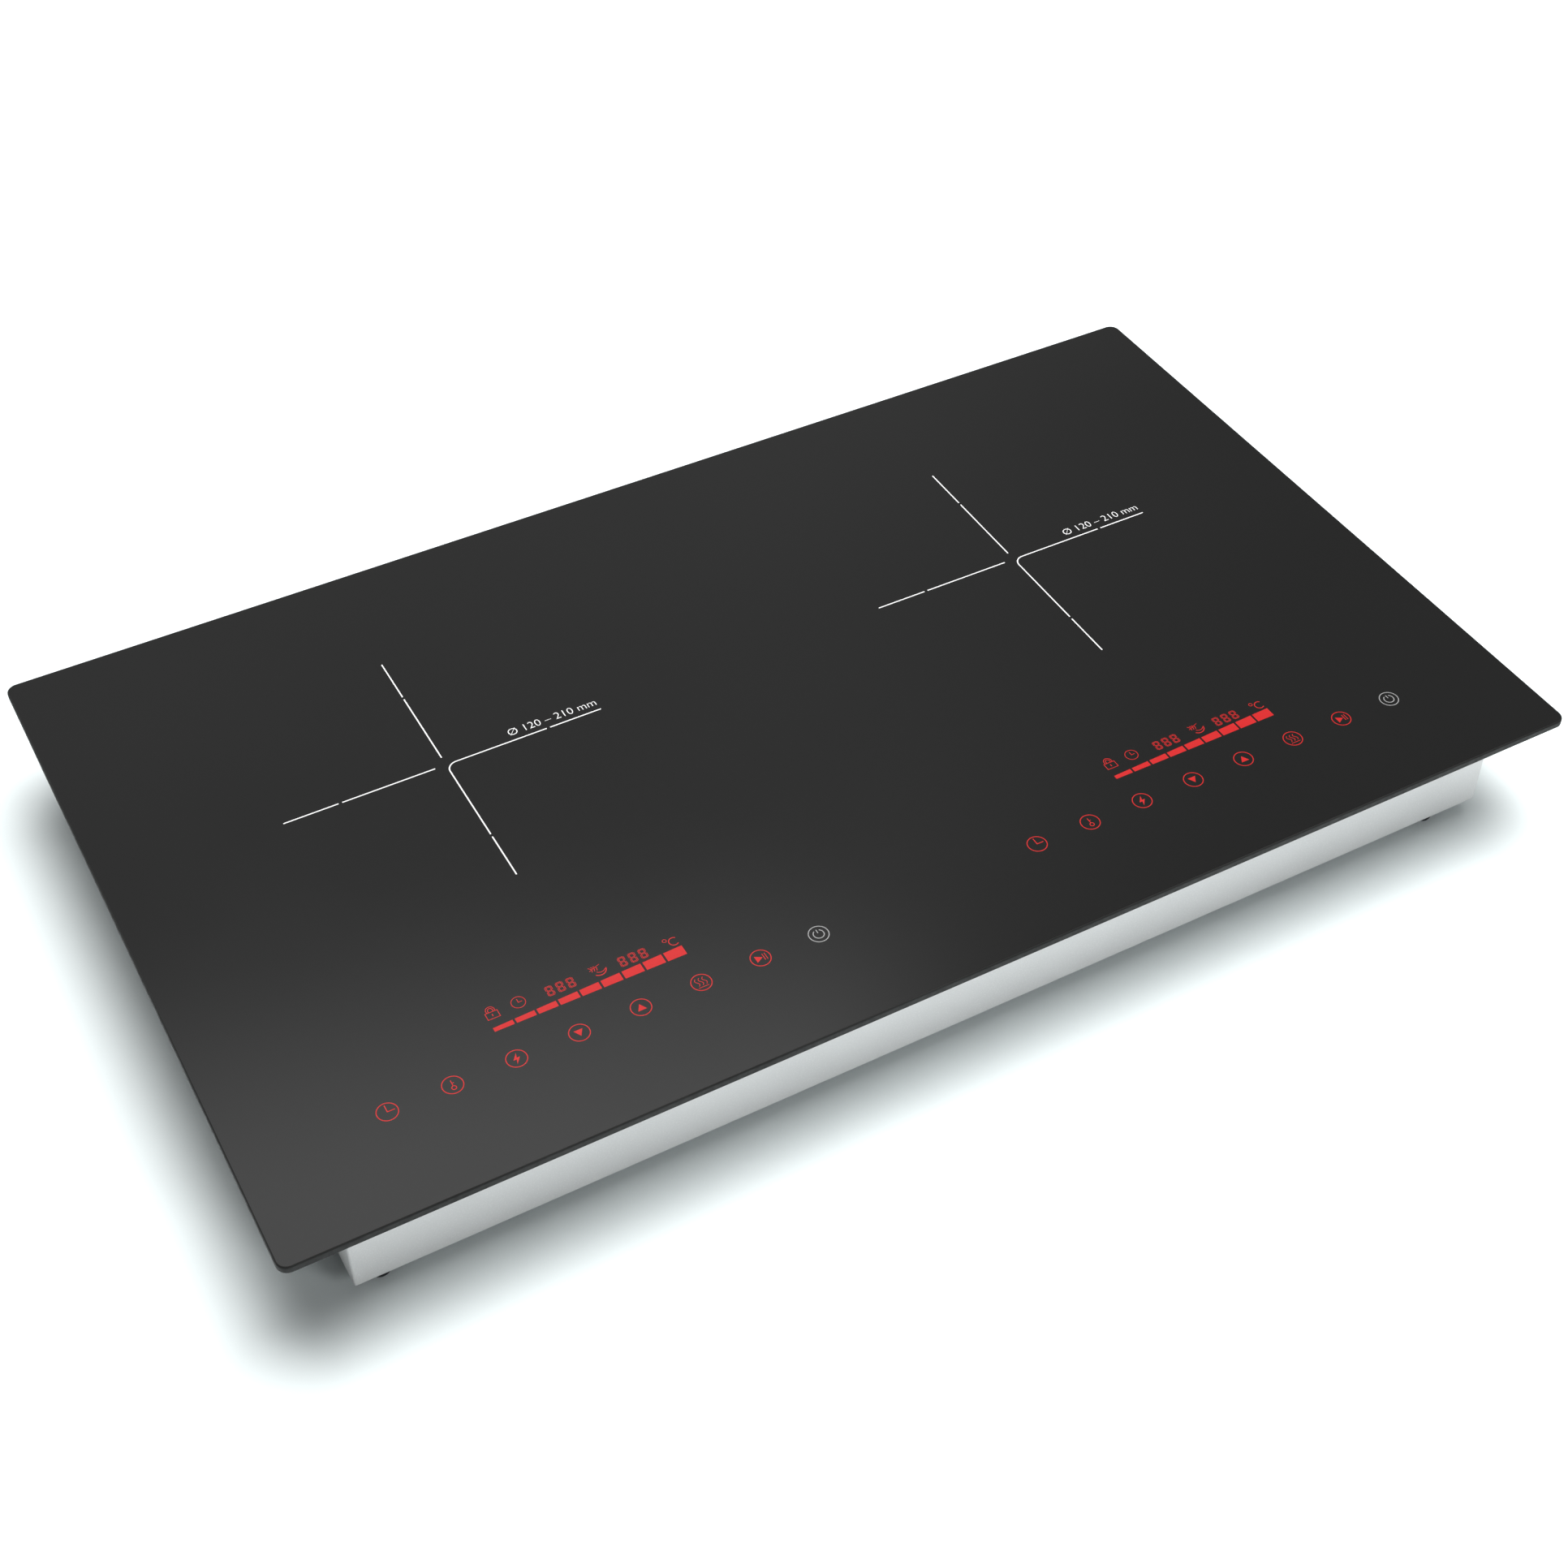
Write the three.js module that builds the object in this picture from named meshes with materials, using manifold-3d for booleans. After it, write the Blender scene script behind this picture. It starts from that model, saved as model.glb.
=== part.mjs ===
// Two-zone induction cooktop: a glass-ceramic plate on a folded steel casing. Inside, each zone has a coil on
// a sprung carrier, an inverter board with its heat sink, a cooling fan and a touch panel.
// Millimetres, +Z up, front towards -Y. The origin is on the worktop, under the middle of the glass.
import * as THREE from "three";
import { mergeVertices } from "three/addons/utils/BufferGeometryUtils.js";
import Module from "manifold-3d";

const wasm = await Module();
wasm.setup();

// ---------------------------------------------------------------- driving dimensions

const gap = 0.3; // between pieces that touch on the real object
const overcut = 2; // how far a cutter runs past the wall that it cuts
const sides = { large: 40, medium: 24, small: 12 }; // of the round pieces

const glass = { length: 730, depth: 430, thickness: 4, cornerRadius: 6, chamfer: 0.7 };

const casing = {
  height: 56, // from its underside to the underside of the glass
  sheet: 0.8,
  cornerRadius: 1.2,
  sideOverhang: 34, // glass past the side walls
  frontOverhang: 18, // glass past the front wall
  rearOverhang: 18, // glass past the rear wall
};

const foot = {
  height: 6,
  edge: 0.5, // chamfer round its sole
  baseRadius: 6,
  topRadius: 7.5,
  stemRadius: 2.6,
  holeClearance: 0.5, // round the stem
  barbHook: 1.1, // of the barb past the edge of its hole
  barbHeight: 2.6,
  fromWall: 9.2, // from the front or rear wall to its axis
  fromLeft: 15, // from the left wall to its axis
  fromRight: 29, // from the right wall to its axis
};

const rail = { leg: 12, wall: 1.5, endGap: 1 };
const seal = { width: 9, thickness: 0.6 };

const screw = {
  shankRadius: 1.8,
  tipRadius: 0.9,
  headRadius: 3.8,
  headTopRadius: 2.7,
  headHeight: 2.2,
  headEdge: 0.9, // upright part of the head's height
  length: 9,
  holeClearance: 0.5, // round the shank
  fromCorner: 70, // from the end of a wall to the nearest screw
};

const zone = { spacing: 355, fromRear: 172.4 }; // from the rear edge of the glass to its centre
const winding = { innerRadius: 22, outerRadius: 84, thickness: 3.2 };
const mica = { holeClearance: 4.5, rim: 2, thickness: 0.5 }; // the clearance is round the sensor

const carrier = {
  rim: 4, // past the winding
  thickness: 5,
  holeClearance: 2.5, // round the sensor
  armReach: 17, // from its rim to a spring's axis
  armWidth: 16,
  firstArm: 90, // degrees from +X
  arms: 3,
};

const sensor = { radius: 7.5, flange: 2, flangeHook: 3 }; // of the flange past the carrier's hole
const stud = { radius: 2.5, height: 30 };
const spring = { radius: 5.5, wire: 1.2, turns: 4, stepsPerTurn: 8, wireSides: 6 };

const fan = {
  size: 80,
  thickness: 25,
  wall: 2,
  cornerRadius: 5,
  boltInset: 4.3,
  boltRadius: 2.2,
  baseHeight: 3,
  strutWidth: 5,
  struts: 4,
  hubRadius: 15.5,
  hubWall: 1.5,
  hubHeight: 17,
  blades: 7,
  bladeWidth: 21, // along its chord
  bladeWall: 1.4,
  bladeCamber: 3,
  bladePitch: 38, // degrees
  tipGap: 1.5,
  shaftRadius: 1.5,
  bearingWall: 2,
  stator: 5, // radial depth of its coils
  statorHeight: 8,
  behindFrontWall: 97, // from the casing's front wall to its axis
};

const board = {
  fromSprings: 5, // from its edges to the springs beside it and behind it
  thickness: 1.6,
  standoff: 5,
  standoffRadius: 3,
  standoffInset: 6,
  behindFan: 8,
};

const sink = {
  width: 84,
  finLength: 68,
  ledge: 26, // flat base behind the fins, which the power devices sit on
  base: 4,
  height: 28,
  fins: 11,
  finWall: 1.6,
  fromBoardFront: 6,
};

const device = { width: 16, depth: 21, height: 5, fromMiddle: 18 };
const bridge = { width: 25, depth: 20, height: 5 };
const capacitor = { width: 32, depth: 18, height: 22 };
const choke = { outerRadius: 17, innerRadius: 8, height: 14, corner: 2 };
const partGap = { edge: 3, sink: 3 }; // from a part to the board's side and to the heat sink

const panel = {
  keys: 8,
  keyPitch: 32.45,
  keysFromFront: 58.6, // from the front edge of the glass to the row of keys
  keySpring: 10, // height of the springs between board and glass
  boardEnd: 12, // board past the last key
  boardFront: 12, // board before the row of keys
  boardDepth: 50,
  boardThickness: 1.6,
  displayBehindKeys: 26.9,
  displayLength: 108,
  displayDepth: 19,
  trayWall: 2,
  trayRim: 4,
  trayMargin: 2,
  legWidth: 12,
  legDepth: 30,
};

const gland = {
  boreRadius: 4.5,
  barrelRadius: 7.5,
  barrelLength: 12,
  flangeRadius: 11,
  flange: 3,
  domeRadius: 9,
  domeTip: 6.8,
  domeLength: 11,
  domeStraight: 6.6, // of its length, before the taper
  holeClearance: 0.5, // round the barrel
  belowRail: 4.3, // from the rear rail to the nut
  nutRadius: 12.5,
  nutSides: 6,
  nutThickness: 5,
};

const terminal = { width: 42, depth: 20, height: 9, poles: 3, ribHeight: 15, ribWall: 2, fromRearWall: 32 };

const vent = {
  slot: 3.2, // width of every slot
  endSegments: 2, // facets on a quarter of a slot's round end
  intakePitch: 8,
  intakeInset: 3, // from the fan's bore to the end of a slot
  rearSlots: 14,
  rearPitch: 10,
  rearLength: 24,
  rearHeight: 27, // of the slots' middle above the casing's underside
  floorSlots: 8,
  floorPitch: 12,
  floorLength: 26,
  floorFromRearWall: 30,
  sideSlots: 8,
  sidePitch: 9,
  sideLength: 18,
  sideHeight: 22,
};

// ---------------------------------------------------------------- places worked out from them

const floorUnder = foot.height;
const floorTop = floorUnder + casing.sheet;
const glassUnder = floorUnder + casing.height;
const onFloor = floorTop + gap;
const underGlass = glassUnder - gap;

const wall = {
  left: -glass.length / 2 + casing.sideOverhang,
  right: glass.length / 2 - casing.sideOverhang,
  front: -glass.depth / 2 + casing.frontOverhang,
  rear: glass.depth / 2 - casing.rearOverhang,
};
const footHole = foot.stemRadius + foot.holeClearance;
const screwHole = screw.shankRadius + screw.holeClearance;
const glandHoleRadius = gland.barrelRadius + gland.holeClearance;
const casingLength = wall.right - wall.left;
const casingDepth = wall.rear - wall.front;
const casingMiddle = (wall.front + wall.rear) / 2;

const sealUnder = underGlass - seal.thickness;
const railTop = sealUnder - gap;
const screwHeight = railTop - rail.leg / 2;
const railInset = casing.sheet + gap; // from a wall's outer face to the rail behind it

const micaUnder = underGlass - mica.thickness;
const windingTop = micaUnder - gap;
const carrierTop = windingTop - winding.thickness - gap;
const carrierUnder = carrierTop - carrier.thickness;
const carrierHole = sensor.radius + carrier.holeClearance;
const carrierRadius = winding.outerRadius + carrier.rim;
const springRing = carrierRadius + carrier.armReach;

const zoneMiddle = glass.depth / 2 - zone.fromRear;
const keyRow = -glass.depth / 2 + panel.keysFromFront;
const panelBoardTop = underGlass - panel.keySpring;
const panelBoardUnder = panelBoardTop - panel.boardThickness;
const panelLength = (panel.keys - 1) * panel.keyPitch + 2 * panel.boardEnd;
const panelMiddle = keyRow - panel.boardFront + panel.boardDepth / 2;

const fanMiddle = wall.front + fan.behindFrontWall;
const fanBore = fan.size / 2 - fan.wall;
const springAside = springRing * Math.cos(THREE.MathUtils.degToRad(carrier.firstArm - 360 / carrier.arms));
const springRoom = spring.radius + spring.wire / 2 + board.fromSprings;
const boardWidth = 2 * (springAside - springRoom);
const boardFront = fanMiddle + fan.size / 2 + board.behindFan;
const boardDepth = zoneMiddle + springRing - springRoom - boardFront;
const boardMiddle = boardFront + boardDepth / 2;
const boardUnder = floorTop + board.standoff;
const onBoard = boardUnder + board.thickness + gap;
const sinkFront = boardFront + sink.fromBoardFront;
const sinkRear = sinkFront + sink.finLength + sink.ledge;
const glandHeight = railTop - rail.leg - gland.belowRail - gland.nutRadius;

const zones = [
  { name: "left", x: -zone.spacing / 2 },
  { name: "right", x: zone.spacing / 2 },
];

// ---------------------------------------------------------------- materials

function material(color, roughness, metalness = 0) {
  return new THREE.MeshStandardMaterial({ color, roughness, metalness });
}

const finish = {
  glass: material(0x1c1c1d, 0.12),
  paint: material(0xd6dadb, 0.45, 0.3),
  rubber: material(0x161616, 0.85),
  aluminium: material(0xb4b7ba, 0.4, 0.9),
  silicone: material(0x2b2b2c, 0.7),
  steel: material(0xa7a9ab, 0.35, 1),
  nylon: material(0x1d1e20, 0.5),
  copper: material(0xb4683a, 0.4, 0.8),
  mica: material(0xcabf9f, 0.6),
  resin: material(0xe4e0d2, 0.55),
  circuit: material(0x1f5a34, 0.5),
  epoxy: material(0x202022, 0.5),
  film: material(0xc8a21e, 0.45),
  ferrite: material(0x3a3b3d, 0.6),
  display: material(0x2a0d0d, 0.3),
};

// ---------------------------------------------------------------- shapes and solids

function circle(radius) {
  return new THREE.Shape().absarc(0, 0, radius, 0, 2 * Math.PI);
}

function roundedRectangle(width, depth, radius) {
  const x = width / 2 - radius;
  const y = depth / 2 - radius;
  return new THREE.Shape()
    .absarc(x, y, radius, 0, Math.PI / 2)
    .absarc(-x, y, radius, Math.PI / 2, Math.PI)
    .absarc(-x, -y, radius, Math.PI, 1.5 * Math.PI)
    .absarc(x, -y, radius, 1.5 * Math.PI, 2 * Math.PI);
}

// A slot along X with round ends.
function slotShape(length, width) {
  const x = (length - width) / 2;
  return new THREE.Shape()
    .absarc(x, 0, width / 2, -Math.PI / 2, Math.PI / 2)
    .absarc(-x, 0, width / 2, Math.PI / 2, 1.5 * Math.PI);
}

// A flat shape given a thickness upwards from height z.
function plate(shape, thickness, z = 0, segments = 6) {
  const geometry = new THREE.ExtrudeGeometry(shape, {
    depth: thickness,
    bevelEnabled: false,
    curveSegments: segments,
  });
  return geometry.translate(0, 0, z);
}

// A box by its low corner and its size.
function block(x, y, z, width, depth, height) {
  return new THREE.BoxGeometry(width, depth, height)
    .translate(x + width / 2, y + depth / 2, z + height / 2);
}

// A box centred on X and Y, from height z up.
function centredBlock(width, depth, height, z = 0) {
  return block(-width / 2, -depth / 2, z, width, depth, height);
}

// A profile of [radius, height] points turned about the Z axis.
function turned(points, facets = sides.medium) {
  const profile = points.map(([r, z]) => new THREE.Vector2(r, z));
  return new THREE.LatheGeometry(profile, facets).rotateX(Math.PI / 2);
}

function tube(innerRadius, outerRadius, low, high, facets) {
  return turned(
    [
      [innerRadius, low],
      [outerRadius, low],
      [outerRadius, high],
      [innerRadius, high],
      [innerRadius, low],
    ],
    facets,
  );
}

function rod(radius, low, high, facets = sides.small) {
  return turned([[0, low], [radius, low], [radius, high], [0, high]], facets);
}

// A closed geometry as a solid that can be joined and cut.
function solidOf(geometry) {
  const bare = geometry.index ? geometry.toNonIndexed() : geometry.clone();
  bare.deleteAttribute("normal");
  bare.deleteAttribute("uv");
  const merged = mergeVertices(bare, 1e-4);
  return new wasm.Manifold(
    new wasm.Mesh({
      numProp: 3,
      vertProperties: merged.attributes.position.array,
      triVerts: new Uint32Array(merged.index.array),
    }),
  );
}

function geometryOf(solid) {
  const mesh = solid.getMesh();
  return new THREE.BufferGeometry()
    .setAttribute("position", new THREE.BufferAttribute(mesh.vertProperties, 3))
    .setIndex(new THREE.BufferAttribute(mesh.triVerts, 1));
}

function join(base, extras) {
  return extras.reduce((sum, extra) => sum.add(solidOf(extra)), solidOf(base));
}

function cut(solid, cutters) {
  return cutters.reduce((rest, cutter) => rest.subtract(solidOf(cutter)), solid);
}

// Copies of one place along a line, centred on it.
function spread(count, pitch) {
  return Array.from({ length: count }, (_, i) => (i - (count - 1) / 2) * pitch);
}

// The middles of a carrier's springs, from its zone's centre.
function springPlaces() {
  return Array.from({ length: carrier.arms }, (_, i) => {
    const angle = THREE.MathUtils.degToRad(carrier.firstArm + (i * 360) / carrier.arms);
    return new THREE.Vector2(springRing * Math.cos(angle), springRing * Math.sin(angle));
  });
}

// ---------------------------------------------------------------- the scene graph

const cooktop = new THREE.Group();
cooktop.name = "induction_cooktop";

function addGroup(parent, x, y, z = 0) {
  const group = new THREE.Group();
  group.position.set(x, y, z);
  parent.add(group);
  return group;
}

function addPiece(parent, name, geometry, look) {
  const mesh = new THREE.Mesh(geometry, look);
  mesh.name = name;
  parent.add(mesh);
  return mesh;
}

// ---------------------------------------------------------------- glass, seal and rails

function glassPanel() {
  const geometry = new THREE.ExtrudeGeometry(
    roundedRectangle(glass.length, glass.depth, glass.cornerRadius),
    {
      depth: glass.thickness - 2 * glass.chamfer,
      bevelThickness: glass.chamfer,
      bevelSize: glass.chamfer,
      bevelOffset: -glass.chamfer,
      bevelSegments: 1,
      curveSegments: 6,
    },
  );
  return geometry.translate(0, 0, glassUnder + glass.chamfer);
}

// A silicone bead that bonds the rails to the glass.
function glassSeal() {
  const length = casingLength - 2 * railInset;
  const depth = casingDepth - 2 * railInset;
  const shape = roundedRectangle(length, depth, casing.cornerRadius);
  const inside = roundedRectangle(length - 2 * seal.width, depth - 2 * seal.width, casing.cornerRadius);
  shape.holes.push(new THREE.Path(inside.getPoints(3)));
  return plate(shape, seal.thickness, sealUnder, 3).translate(0, casingMiddle, 0);
}

// An angle strip along X whose upright leg faces -Y, from its outer face at y = 0.
function railStrip(length, holes) {
  const top = block(-length / 2, 0, railTop - rail.wall, length, rail.leg, rail.wall);
  const upright = block(-length / 2, 0, railTop - rail.leg, length, rail.wall, rail.leg);
  const drills = holes.map((x) =>
    rod(screwHole, -overcut, rail.wall + overcut)
      .rotateX(-Math.PI / 2)
      .translate(x, 0, screwHeight),
  );
  return geometryOf(cut(join(top, [upright]), drills));
}

// The outward face, length and screws of each wall. Screws are places along the wall from its middle.
function wallFaces() {
  const alongX = casingLength / 2 - screw.fromCorner;
  const alongY = casingDepth / 2 - screw.fromCorner;
  return {
    front: { x: 0, y: wall.front, turn: 0, length: casingLength, screws: [] },
    right: {
      x: wall.right,
      y: casingMiddle,
      turn: Math.PI / 2,
      length: casingDepth,
      screws: [-alongY, alongY],
    },
    rear: { x: 0, y: wall.rear, turn: Math.PI, length: casingLength, screws: [-alongX, alongX] },
    left: {
      x: wall.left,
      y: casingMiddle,
      turn: -Math.PI / 2,
      length: casingDepth,
      screws: [-alongY, alongY],
    },
  };
}

// A group whose own X runs along the wall and whose own Y points into the casing.
function addWallGroup(face) {
  const group = addGroup(cooktop, face.x, face.y);
  group.rotation.z = face.turn;
  return group;
}

// A screw along +Y, whose head is outside a wall at y = 0.
function casingScrew() {
  const under = -gap;
  const top = under - screw.headHeight;
  return turned(
    [
      [0, top],
      [screw.headTopRadius, top],
      [screw.headRadius, under - screw.headEdge],
      [screw.headRadius, under],
      [screw.shankRadius, under],
      [screw.shankRadius, screw.length - screw.shankRadius],
      [screw.tipRadius, screw.length],
      [0, screw.length],
    ],
    sides.small,
  ).rotateX(-Math.PI / 2);
}

function addRailsAndScrews() {
  for (const [side, face] of Object.entries(wallFaces())) {
    const group = addWallGroup(face);
    const isEnd = side === "left" || side === "right";
    const ends = isEnd ? railInset + rail.leg + rail.endGap : railInset + casing.cornerRadius;
    const strip = railStrip(face.length - 2 * ends, face.screws);
    addPiece(group, `glass_rail_${side}`, strip, finish.aluminium).position.y = railInset;
    face.screws.forEach((x, i) => {
      const piece = addPiece(group, `casing_screw_${side}_${i + 1}`, casingScrew(), finish.steel);
      piece.position.set(x, 0, screwHeight);
    });
  }
}

// ---------------------------------------------------------------- casing and feet

function footPlaces() {
  return [
    ["front_left", wall.left + foot.fromLeft, wall.front + foot.fromWall],
    ["front_right", wall.right - foot.fromRight, wall.front + foot.fromWall],
    ["rear_left", wall.left + foot.fromLeft, wall.rear - foot.fromWall],
    ["rear_right", wall.right - foot.fromRight, wall.rear - foot.fromWall],
  ];
}

// Rows of slots through the floor. Each stays inside the bore of the fan above it.
function intakeSlots() {
  const reach = fanBore - vent.intakeInset;
  const rows = Math.floor(reach / vent.intakePitch);
  return zones.flatMap(({ x }) =>
    spread(2 * rows + 1, vent.intakePitch).flatMap((y) => {
      const half = Math.sqrt(reach ** 2 - y ** 2);
      return half < vent.slot
        ? []
        : [floorCutter(slotShape(2 * half, vent.slot)).translate(x, fanMiddle + y, 0)];
    }),
  );
}

function floorCutter(shape, segments = vent.endSegments) {
  return plate(shape, casing.sheet + 2 * overcut, floorUnder - overcut, segments);
}

// Exhaust slots through the floor, behind each zone.
function floorSlots() {
  const slot = slotShape(vent.floorLength, vent.slot);
  return zones.flatMap(({ x }) =>
    spread(vent.floorSlots, vent.floorPitch).map((dx) =>
      floorCutter(slot).rotateZ(Math.PI / 2).translate(x + dx, wall.rear - vent.floorFromRearWall, 0),
    ),
  );
}

// An upright slot through a wall whose outer face is at y = 0.
function wallSlot(length) {
  return plate(slotShape(length, vent.slot), casing.sheet + 2 * overcut, 0, vent.endSegments)
    .rotateZ(Math.PI / 2)
    .rotateX(Math.PI / 2)
    .translate(0, casing.sheet + overcut, 0);
}

function rearSlots() {
  return zones.flatMap(({ x }) =>
    spread(vent.rearSlots, vent.rearPitch).map((dx) =>
      wallSlot(vent.rearLength)
        .rotateZ(Math.PI)
        .translate(x + dx, wall.rear, floorUnder + vent.rearHeight),
    ),
  );
}

function sideSlots() {
  const faces = wallFaces();
  return [faces.left, faces.right].flatMap((face) =>
    spread(vent.sideSlots, vent.sidePitch).map((dx) =>
      wallSlot(vent.sideLength)
        .translate(dx, 0, floorUnder + vent.sideHeight)
        .rotateZ(face.turn)
        .translate(face.x, face.y, 0),
    ),
  );
}

function screwHoles() {
  return Object.values(wallFaces()).flatMap((face) =>
    face.screws.map((x) =>
      rod(screwHole, -overcut, casing.sheet + overcut)
        .rotateX(-Math.PI / 2)
        .translate(x, 0, screwHeight)
        .rotateZ(face.turn)
        .translate(face.x, face.y, 0),
    ),
  );
}

function glandHole() {
  return rod(glandHoleRadius, -overcut, casing.sheet + overcut, sides.medium)
    .rotateX(Math.PI / 2)
    .translate(0, wall.rear, glandHeight);
}

// Studs that guide the carriers' springs, and short ones under the boards, all welded to the floor.
function weldedStuds() {
  const guides = zones.flatMap(({ x }) =>
    springPlaces().map((place) =>
      rod(stud.radius, floorTop - casing.sheet / 2, floorTop + stud.height)
        .translate(x + place.x, zoneMiddle + place.y, 0),
    ),
  );
  const dx = boardWidth / 2 - board.standoffInset;
  const dy = boardDepth / 2 - board.standoffInset;
  const supports = zones.flatMap(({ x }) =>
    [[-dx, -dy], [dx, -dy], [dx, dy], [-dx, dy]].map(([u, v]) =>
      rod(board.standoffRadius, floorTop - casing.sheet / 2, boardUnder - gap)
        .translate(x + u, boardMiddle + v, 0),
    ),
  );
  return [...guides, ...supports];
}

function lowerCasing() {
  const outside = roundedRectangle(casingLength, casingDepth, casing.cornerRadius);
  const inside = roundedRectangle(
    casingLength - 2 * casing.sheet,
    casingDepth - 2 * casing.sheet,
    casing.cornerRadius - casing.sheet,
  );
  const body = plate(outside, underGlass - floorUnder, floorUnder, 3).translate(0, casingMiddle, 0);
  const hollow = plate(inside, casing.height, floorTop, 3).translate(0, casingMiddle, 0);
  const footHoles = footPlaces().map(([, x, y]) =>
    floorCutter(circle(footHole), sides.small / 2).translate(x, y, 0),
  );
  const tray = cut(solidOf(body), [hollow]);
  const studded = weldedStuds().reduce((sum, extra) => sum.add(solidOf(extra)), tray);
  return geometryOf(
    cut(studded, [
      ...footHoles,
      ...intakeSlots(),
      ...floorSlots(),
      ...rearSlots(),
      ...sideSlots(),
      ...screwHoles(),
      glandHole(),
    ]),
  );
}

// A rubber foot whose stem snaps through the floor.
function rubberFoot() {
  const shoulder = floorUnder - gap;
  return turned(
    [
      [0, 0],
      [foot.baseRadius - foot.edge, 0],
      [foot.baseRadius, foot.edge],
      [foot.topRadius, shoulder],
      [foot.stemRadius, shoulder],
      [foot.stemRadius, onFloor],
      [footHole + foot.barbHook, onFloor],
      [foot.stemRadius, onFloor + foot.barbHeight],
      [0, onFloor + foot.barbHeight],
    ],
    sides.medium,
  );
}

function addCasingAndFeet() {
  addPiece(cooktop, "lower_casing", lowerCasing(), finish.paint);
  for (const [corner, x, y] of footPlaces()) {
    addPiece(cooktop, `foot_${corner}`, rubberFoot(), finish.rubber).position.set(x, y, 0);
  }
}

// ---------------------------------------------------------------- mains inlet

// A gland along +Y, with the outer face of the wall at y = 0.
function cableGland() {
  const start = -casing.sheet - gap - gland.barrelLength + gland.flange;
  return turned(
    [
      [gland.boreRadius, start],
      [gland.barrelRadius, start],
      [gland.barrelRadius, gap],
      [gland.flangeRadius, gap],
      [gland.flangeRadius, gap + gland.flange],
      [gland.domeRadius, gap + gland.flange],
      [gland.domeRadius, gap + gland.flange + gland.domeStraight],
      [gland.domeTip, gap + gland.flange + gland.domeLength],
      [gland.boreRadius, gap + gland.flange + gland.domeLength],
      [gland.boreRadius, start],
    ],
    sides.medium,
  ).rotateX(-Math.PI / 2);
}

function glandNut() {
  const round = new THREE.Path().absarc(0, 0, gland.nutRadius, 0, 2 * Math.PI);
  const hexagon = new THREE.Shape(round.getPoints(gland.nutSides / 2).slice(0, -1));
  hexagon.holes.push(new THREE.Path().absarc(0, 0, glandHoleRadius, 0, 2 * Math.PI, true));
  return plate(hexagon, gland.nutThickness, 0, sides.small)
    .rotateX(Math.PI / 2)
    .translate(0, -casing.sheet - gap, 0);
}

// A strip of screw terminals with a rib between each pole and at both ends.
function mainsTerminal() {
  const pitch = (terminal.width - terminal.ribWall) / terminal.poles;
  const ribs = spread(terminal.poles + 1, pitch).map((x) =>
    centredBlock(terminal.ribWall, terminal.depth, terminal.ribHeight).translate(x, 0, 0),
  );
  return geometryOf(join(centredBlock(terminal.width, terminal.depth, terminal.height), ribs));
}

function addMainsInlet() {
  const inlet = addGroup(cooktop, 0, wall.rear, glandHeight);
  addPiece(inlet, "cable_gland", cableGland(), finish.nylon);
  addPiece(inlet, "gland_nut", glandNut(), finish.nylon);
  const strip = addPiece(cooktop, "mains_terminal", mainsTerminal(), finish.resin);
  strip.position.set(0, wall.rear - terminal.fromRearWall, onFloor);
}

// ---------------------------------------------------------------- coils

// A round plate with an arm over each spring, and a hole for the sensor.
function coilCarrier() {
  const disc = tube(carrierHole, carrierRadius, carrierUnder, carrierTop, sides.large);
  const arms = springPlaces().map((place) => {
    const arm = slotShape(springRing - carrierHole, carrier.armWidth);
    return plate(arm, carrier.thickness, carrierUnder, 4)
      .translate((springRing + carrierHole) / 2 + carrier.armWidth / 2, 0, 0)
      .rotateZ(place.angle());
  });
  return geometryOf(join(disc, arms));
}

function coilWinding() {
  const low = windingTop - winding.thickness;
  return tube(winding.innerRadius, winding.outerRadius, low, windingTop, sides.large);
}

function micaSheet() {
  const hole = sensor.radius + mica.holeClearance;
  return tube(hole, winding.outerRadius + mica.rim, micaUnder, underGlass, sides.medium);
}

// A silicone plug that presses a thermistor to the glass. Its flange is below the carrier.
function temperatureSensor() {
  const flangeTop = carrierUnder - gap;
  return turned(
    [
      [0, flangeTop - sensor.flange],
      [carrierHole + sensor.flangeHook, flangeTop - sensor.flange],
      [carrierHole + sensor.flangeHook, flangeTop],
      [sensor.radius, flangeTop],
      [sensor.radius, underGlass],
      [0, underGlass],
    ],
    sides.small,
  );
}

class Helix extends THREE.Curve {
  constructor(radius, height, turns) {
    super();
    Object.assign(this, { radius, height, turns });
  }

  getPoint(t, target = new THREE.Vector3()) {
    const angle = 2 * Math.PI * this.turns * t;
    return target.set(this.radius * Math.cos(angle), this.radius * Math.sin(angle), this.height * t);
  }
}

function carrierSpring() {
  const low = onFloor + spring.wire;
  const high = carrierUnder - gap - spring.wire;
  const wire = new THREE.Shape(circle(spring.wire / 2).getPoints(spring.wireSides / 2).slice(0, -1));
  const geometry = new THREE.ExtrudeGeometry(wire, {
    steps: spring.turns * spring.stepsPerTurn,
    extrudePath: new Helix(spring.radius, high - low, spring.turns),
  });
  return geometry.translate(0, 0, low);
}

function addCoil(side, x) {
  const group = addGroup(cooktop, x, zoneMiddle);
  addPiece(group, `coil_carrier_${side}`, coilCarrier(), finish.resin);
  addPiece(group, `coil_winding_${side}`, coilWinding(), finish.copper);
  addPiece(group, `mica_sheet_${side}`, micaSheet(), finish.mica);
  addPiece(group, `temperature_sensor_${side}`, temperatureSensor(), finish.silicone);
  springPlaces().forEach((place, i) => {
    const piece = addPiece(group, `carrier_spring_${side}_${i + 1}`, carrierSpring(), finish.steel);
    piece.position.set(place.x, place.y, 0);
  });
}

// ---------------------------------------------------------------- cooling fans

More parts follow.
